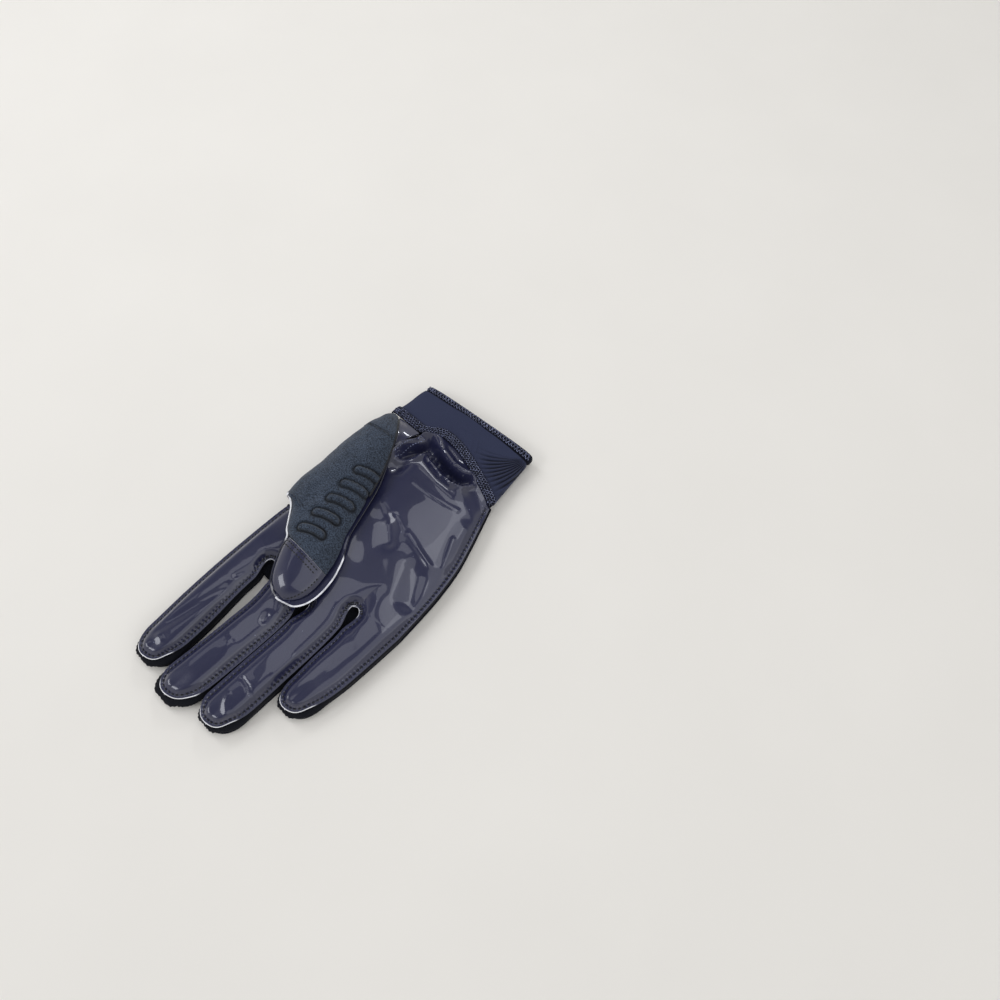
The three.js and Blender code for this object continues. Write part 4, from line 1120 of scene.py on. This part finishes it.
sleeveRows = 44
rows = cuffGrid(0, 1 - hemShare, hand["cuffSeamGap"], sleeveRows)
fan = np.stack(gatherFan(rows[..., 0], rows[..., 1]), -1)
fan[..., 1] *= rows[..., 2] > cuff["height"] / 2
relief = gatherRelief(rows[..., 0], rows[..., 1]) * smooth(rows[..., 2], 2, 9)
rows = closed(raised(rows, relief * smooth(np.linspace(0, 1, sleeveRows), 0, 0.1)[:, None]))
addSheet("cuff_sleeve", [(rows, fan)], walls["sleeve"], [cuffKnit] * 3, "cuff_elastic", "cuff_band",
         markNames=("fanTurn", "fanStrength"))

# The hem is a padded fold, sewn down in a groove on the sleeve's side
hemFold = {"rows": 26, "puff": 0.7, "start": 0.22, "sink": 0.2, "groove": 0.75, "grooveAt": 0.13,
           "grooveWidth": 0.09}
rows = cuffGrid(1 - hemShare, 1, hand["seamGap"], hemFold["rows"])
lane = np.linspace(0, 1, hemFold["rows"])[:, None] * np.ones((1, rows.shape[1]))
overFold = np.clip((lane - hemFold["start"]) / (1 - hemFold["start"]), 0, 1)
padded = np.sqrt(np.maximum(np.sin(np.pi * overFold), 0))
groove = hemFold["groove"] * bump(lane - hemFold["grooveAt"], hemFold["grooveWidth"])
rows = closed(raised(rows, hemFold["puff"] * padded - hemFold["sink"] - groove))
cuffHem = addSheet("cuff_hem_binding", [(rows, lane * 0)], walls["hem"], [tapeWeave] * 3, "cuff_binding",
                   "cuff_hem", profile=((0.1, 0.25), (0.5, 0.4), (0.9, 0.25)))

lanes = np.linspace(-0.5, 0.5, 13)[:, None]
turn = np.linspace(0.03, 0.48, 170)[None, :]
rows = cuffPoint(turn * np.ones_like(lanes), 0.0, hand["seamGap"] + cuff["bandWall"], lanes * cuff["band"])
rows = raised(rows[:, ::-1], 0.2 * (1 - (2 * lanes) ** 4) * np.ones_like(turn))
seamBand = addSheet("cuff_seam_tape", [(rows, rows[..., 2] * 0)], cuff["bandWall"], [tapeWeave] * 3,
                    "cuff_binding", "cuff_seam_band")
print("cuff made")

# Sewing. The line along the raw edge breaks where another stretch of edge comes too near, and is cut back
# with the sheet at the fingertips.
line = inset(edgeLine[:, :2], flange["stitchLine"])
away = np.array([edgeFinder.find((x, y, 0))[2] for x, y in line])
line = line[away > flange["stitchLine"] - palmStitch["crowding"]]
gaps = np.linalg.norm(np.diff(line, axis=0), axis=1)
parts = np.split(line, np.flatnonzero(gaps > palmStitch["gap"]) + 1)
runs = []
for number, part in enumerate(parts):
    for f in range(len(fingers)):
        aside = np.abs(part[:, 0] - fingers[f]["tip"] * palmWidth)
        atTip = (aside < fingerTable(f)["half"][-1]) & (part[:, 1] < fingerTipY(f) + tipCut["fade"][1])
        part[atTip] = np.stack(cutBack(f, part[atTip, 0], part[atTip, 1]), -1)
    if len(part) > palmStitch["shortest"]:
        runs += stitchRuns(palmSheet, part, palmStitch, number)
addThreads("palm_stitches", runs, palmStitch["radius"], palmThread, "silicone_coat")
print("palm stitches:", len(runs))

# Double stitching along the ridge where the thumb's base is sewn to the palm
ridgeStitch = {"pitch": 1.9, "length": 1.2, "radius": 0.36, "lift": 0.2, "apart": 2.2}
ridgePath = np.array([(-17.6, 62), (-17.4, 70), (-17, 78), (-15.2, 86)])
ridgePath = resample(ridgePath, np.linspace(0, pathLength(ridgePath)[-1], 80))
runs = stitchRuns(palmSheet, ridgePath, ridgeStitch, 30)
runs += stitchRuns(palmSheet, inset(ridgePath, -ridgeStitch["apart"]), ridgeStitch, 31)
addThreads("thumb_base_stitches", runs, ridgeStitch["radius"], thread, "silicone_coat")

# Overcast stitches round the keyholes at the slits' feet
eyeletStitch = {"count": 17, "angles": (-38, 218), "from": 0.3, "to": 2.6, "radius": 0.3, "lift": 0.1}
runs = []
for f in range(len(fingers) - 1):
    holeX, footY = rootPoint(f, 1.0)
    holeY = footY - hand["eyeletRadius"]
    reach = hand["eyeletRadius"] + np.linspace(eyeletStitch["from"], eyeletStitch["to"], 4)
    for angle in np.radians(np.linspace(*eyeletStitch["angles"], eyeletStitch["count"])):
        path = np.stack([holeX + reach * math.cos(angle), holeY + reach * math.sin(angle)], -1)
        spots, normals = layOn(palmSheet, path, eyeletStitch["lift"])
        if not np.isnan(spots).any() and np.ptp(spots[:, 2]) < 3:
            spots[0] -= normals[0] * 0.4
            spots[-1] -= normals[-1] * 0.35
            runs.append((spots, normals))
addThreads("eyelet_stitches", runs, eyeletStitch["radius"], palmThread, "silicone_coat")


# Thread that zigzags along a path on a piece, one lane of a flatlock or coverstitch seam
def zigzagRun(piece, path, zigzag, offset, phase):
    at = np.arange(0, pathLength(path)[-1], zigzag["pitch"] / 4)
    middle = resample(path, at)
    turn = 2 * np.pi * at / zigzag["pitch"]
    wave = offset + zigzag["swing"] * np.sin(turn + phase)
    spots, normals = layOn(piece, middle + sideways(middle) * wave[:, None], zigzag["lift"])
    lifted = 0.12 * np.cos(2 * turn + phase)
    good = ~np.isnan(spots).any(axis=1)
    return (spots + normals * lifted[:, None])[good], normals[good]


# Each lane of the seams below has a place across and a phase
hemThread = {"pitch": 2.2, "swing": 0.7, "radius": 0.3, "lift": 0.28, "lanes": ((0.27, 0), (0.6, 2.2))}
runs = []
for share, phase in hemThread["lanes"]:
    path = cuffPoint(np.linspace(0.03, 0.47, 200), 1 - hemShare * share, 0.0)[::-1, :2]
    runs.append(zigzagRun(cuffHem, path, hemThread, 0, phase))
addThreads("hem_coverstitch", runs, hemThread["radius"], thread, "cuff_binding")

bandThread = {"pitch": 1.8, "swing": 0.55, "radius": 0.19, "lift": 0.14,
              "lanes": ((-2.1, 0), (-0.7, 2.1), (0.7, 4.2), (2.1, 0.6))}
path = cuffPoint(np.linspace(0.035, 0.475, 200), 0.0, 1.25)[::-1, :2]
runs = [zigzagRun(seamBand, path, bandThread, offset, phase) for offset, phase in bandThread["lanes"]]
addThreads("seam_flatlock", runs, bandThread["radius"], thread, "cuff_binding")

# Where the thumb's back meets the triangle at its base, a near-black cord lies along the edge: a painted
# shadow for the dark line there
shadowCordEdge = fineRows(thumbTop, 0.3, 4.4, 60)
roll = thumbPoint(shadowCordEdge["x2"], shadowCordEdge["y2"], shadowCordEdge["z2"])[:, 0] + np.array([0.25, -0.1, 0.35])
addThreads("thumb_base_shadow_cord", [(roll, np.tile([0.0, 0.0, 1.0], (len(roll), 1)))], 0.6, palmThread,
           "brushed_stretch")

# Two rows of stitches across the cap and one along each of its sides
capStitch = {"pitch": 1.9, "length": 1.25, "radius": 0.36, "lift": 0.22, "below": (1.6, 4.0)}
capSideStitch = {"pitch": 2.1, "length": 1.35, "lift": 0.12, "columns": (3, 58)}
capEdge = topArch(fineRows(capTop, 0.0, 0.01, 2), 50)[0][4:-7, :2]
runs = []
for number, below in enumerate(capStitch["below"]):
    runs += stitchRuns(thumbCap, capEdge - np.array([0, below]), capStitch, 40 + number)
for number, column in enumerate(capSideStitch["columns"]):
    path = topArch(fineRows(capTop, 0.6, 4.9, 40), 64)[:, column, :2]
    runs += stitchRuns(thumbCap, path, capSideStitch, 50 + number)
addThreads("thumb_cap_stitches", runs, capStitch["radius"], palmThread, "silicone_coat")

gussetThread = {"pitch": 1.8, "swing": 0.85, "radius": 0.2, "lift": 0.02, "phases": (0, math.pi)}
path = topArch(fineRows(thumbTop, gussetRows - 0.02, gussetRows, 2), 60)[0][14:-2, :2] - np.array([0, 1.6])
runs = [zigzagRun(thumbBack, path, gussetThread, 0, phase) for phase in gussetThread["phases"]]
addThreads("wrist_gusset_flatlock", runs, gussetThread["radius"], thumbThread, "brushed_stretch")
print("sewing made")

# Floor, lamps and camera
floorLook = {"low": "EFEBE2", "high": "F5F1E8"}


# Mat paper: pale and even, with hardly a highlight
def matFloor(name):
    material, add, place = newMaterial(name)
    cloud = add("TexNoise", {"Vector": place, "Scale": 9.0, "Detail": 3.0})
    shade = mixColours(add, cloud, floorLook["low"], floorLook["high"])
    return finishMaterial(material, {"Base Color": shade, "Roughness": 0.9, "Specular IOR Level": 0.1})


floorMesh = bpy.data.meshes.new("floor")
corners = [(-9, -9, -0.0003), (9, -9, -0.0003), (9, 9, -0.0003), (-9, 9, -0.0003)]
floorMesh.from_pydata(corners, [], [(0, 1, 2, 3)])
floorMesh.materials.append(matFloor("matPaperFloor"))
floor = placeObject("floor", floorMesh)

# A light tent: bright walls all round and a darker ceiling, with the softboxes let into it. Lengths are in
# metres, and a glow of 1 is as bright as a white wall.
tent = {"walls": 0.6, "ceiling": 0.13, "wallTop": 24, "ceilingStart": 55, "tint": (1, 1, 0.985, 1)}
overheadBoxes = {"height": 1.2, "turn": -14}
lampTint = (0.95, 0.97, 1.04)
softboxes = [
    {"name": "palm_softbox", "place": (-0.195, 0.41), "size": (0.58, 0.44), "glow": 1.6},
    {"name": "finger_softbox", "place": (-0.47, 0.01), "size": (0.42, 0.24), "glow": 1.2},
    {"name": "tip_softbox", "place": (-0.72, -0.26), "size": (0.3, 0.3), "glow": 0.8},
    {"name": "fill_softbox", "place": (0.8, 0.1, 1.4), "size": (1.9, 2.1), "glow": 0.85},
    {"name": "key_softbox", "place": (-1.25, 0.0, 1.1), "size": (0.7, 0.7), "glow": 4.0, "mirrored": False},
    {"name": "front_softbox", "place": (-0.75, -1.1, 1.25), "size": (0.75, 0.55), "glow": 4.4},
    {"name": "back_window", "place": (-0.62, 1.25, 0.9), "size": (0.16, 0.16), "glow": 24},
]

world = bpy.context.scene.world or bpy.data.worlds.new("studio")
bpy.context.scene.world = world
world.use_nodes = True
tree = world.node_tree
up = addNode(tree, "SeparateXYZ", {0: addNode(tree, "TexCoord", output="Generated")}, 2)
glow = addNode(tree, "MapRange", {
    "Value": up, "From Min": math.sin(math.radians(tent["wallTop"])),
    "From Max": math.sin(math.radians(tent["ceilingStart"])), "To Min": tent["walls"],
    "To Max": tent["ceiling"]}, interpolation_type="SMOOTHSTEP")
background = tree.nodes["Background"]
background.inputs["Color"].default_value = tent["tint"]
tree.links.new(glow, background.inputs["Strength"])


def aim(thing, target):
    direction = Vector(target) - thing.location
    thing.rotation_euler = direction.to_track_quat("-Z", "Y").to_euler()


# Boxes with a place in plan only hang overhead and look straight down, the others look at the glove. The
# key lamp throws the thumb's shadow over the palm, and the coat doesn't mirror it.
for box in softboxes:
    lamp = bpy.data.lights.new(box["name"], "AREA")
    lamp.shape = "RECTANGLE"
    lamp.size, lamp.size_y = box["size"]
    lamp.energy = box["glow"] * math.pi * box["size"][0] * box["size"][1]
    lamp.color = lampTint
    softbox = placeObject(box["name"], lamp)
    softbox.visible_glossy = box.get("mirrored", True)
    if len(box["place"]) == 2:
        softbox.location = (*box["place"], overheadBoxes["height"])
        aim(softbox, (*box["place"], 0))
        softbox.rotation_euler.z += math.radians(overheadBoxes["turn"])
    else:
        softbox.location = box["place"]
        aim(softbox, (0, 0, 0))

view = {"place": (0.1721, -0.0499, 0.4102), "target": (0.0339, 0.0898, 0), "lens": 27, "sensor": 36}
camera = placeObject("camera", bpy.data.cameras.new("camera"))
camera.data.lens = view["lens"]
camera.data.sensor_width = view["sensor"]
camera.data.clip_start = 0.01
camera.location = view["place"]
aim(camera, view["target"])
bpy.context.scene.camera = camera
bpy.context.scene.view_settings.view_transform = "Standard"
print("stage set")
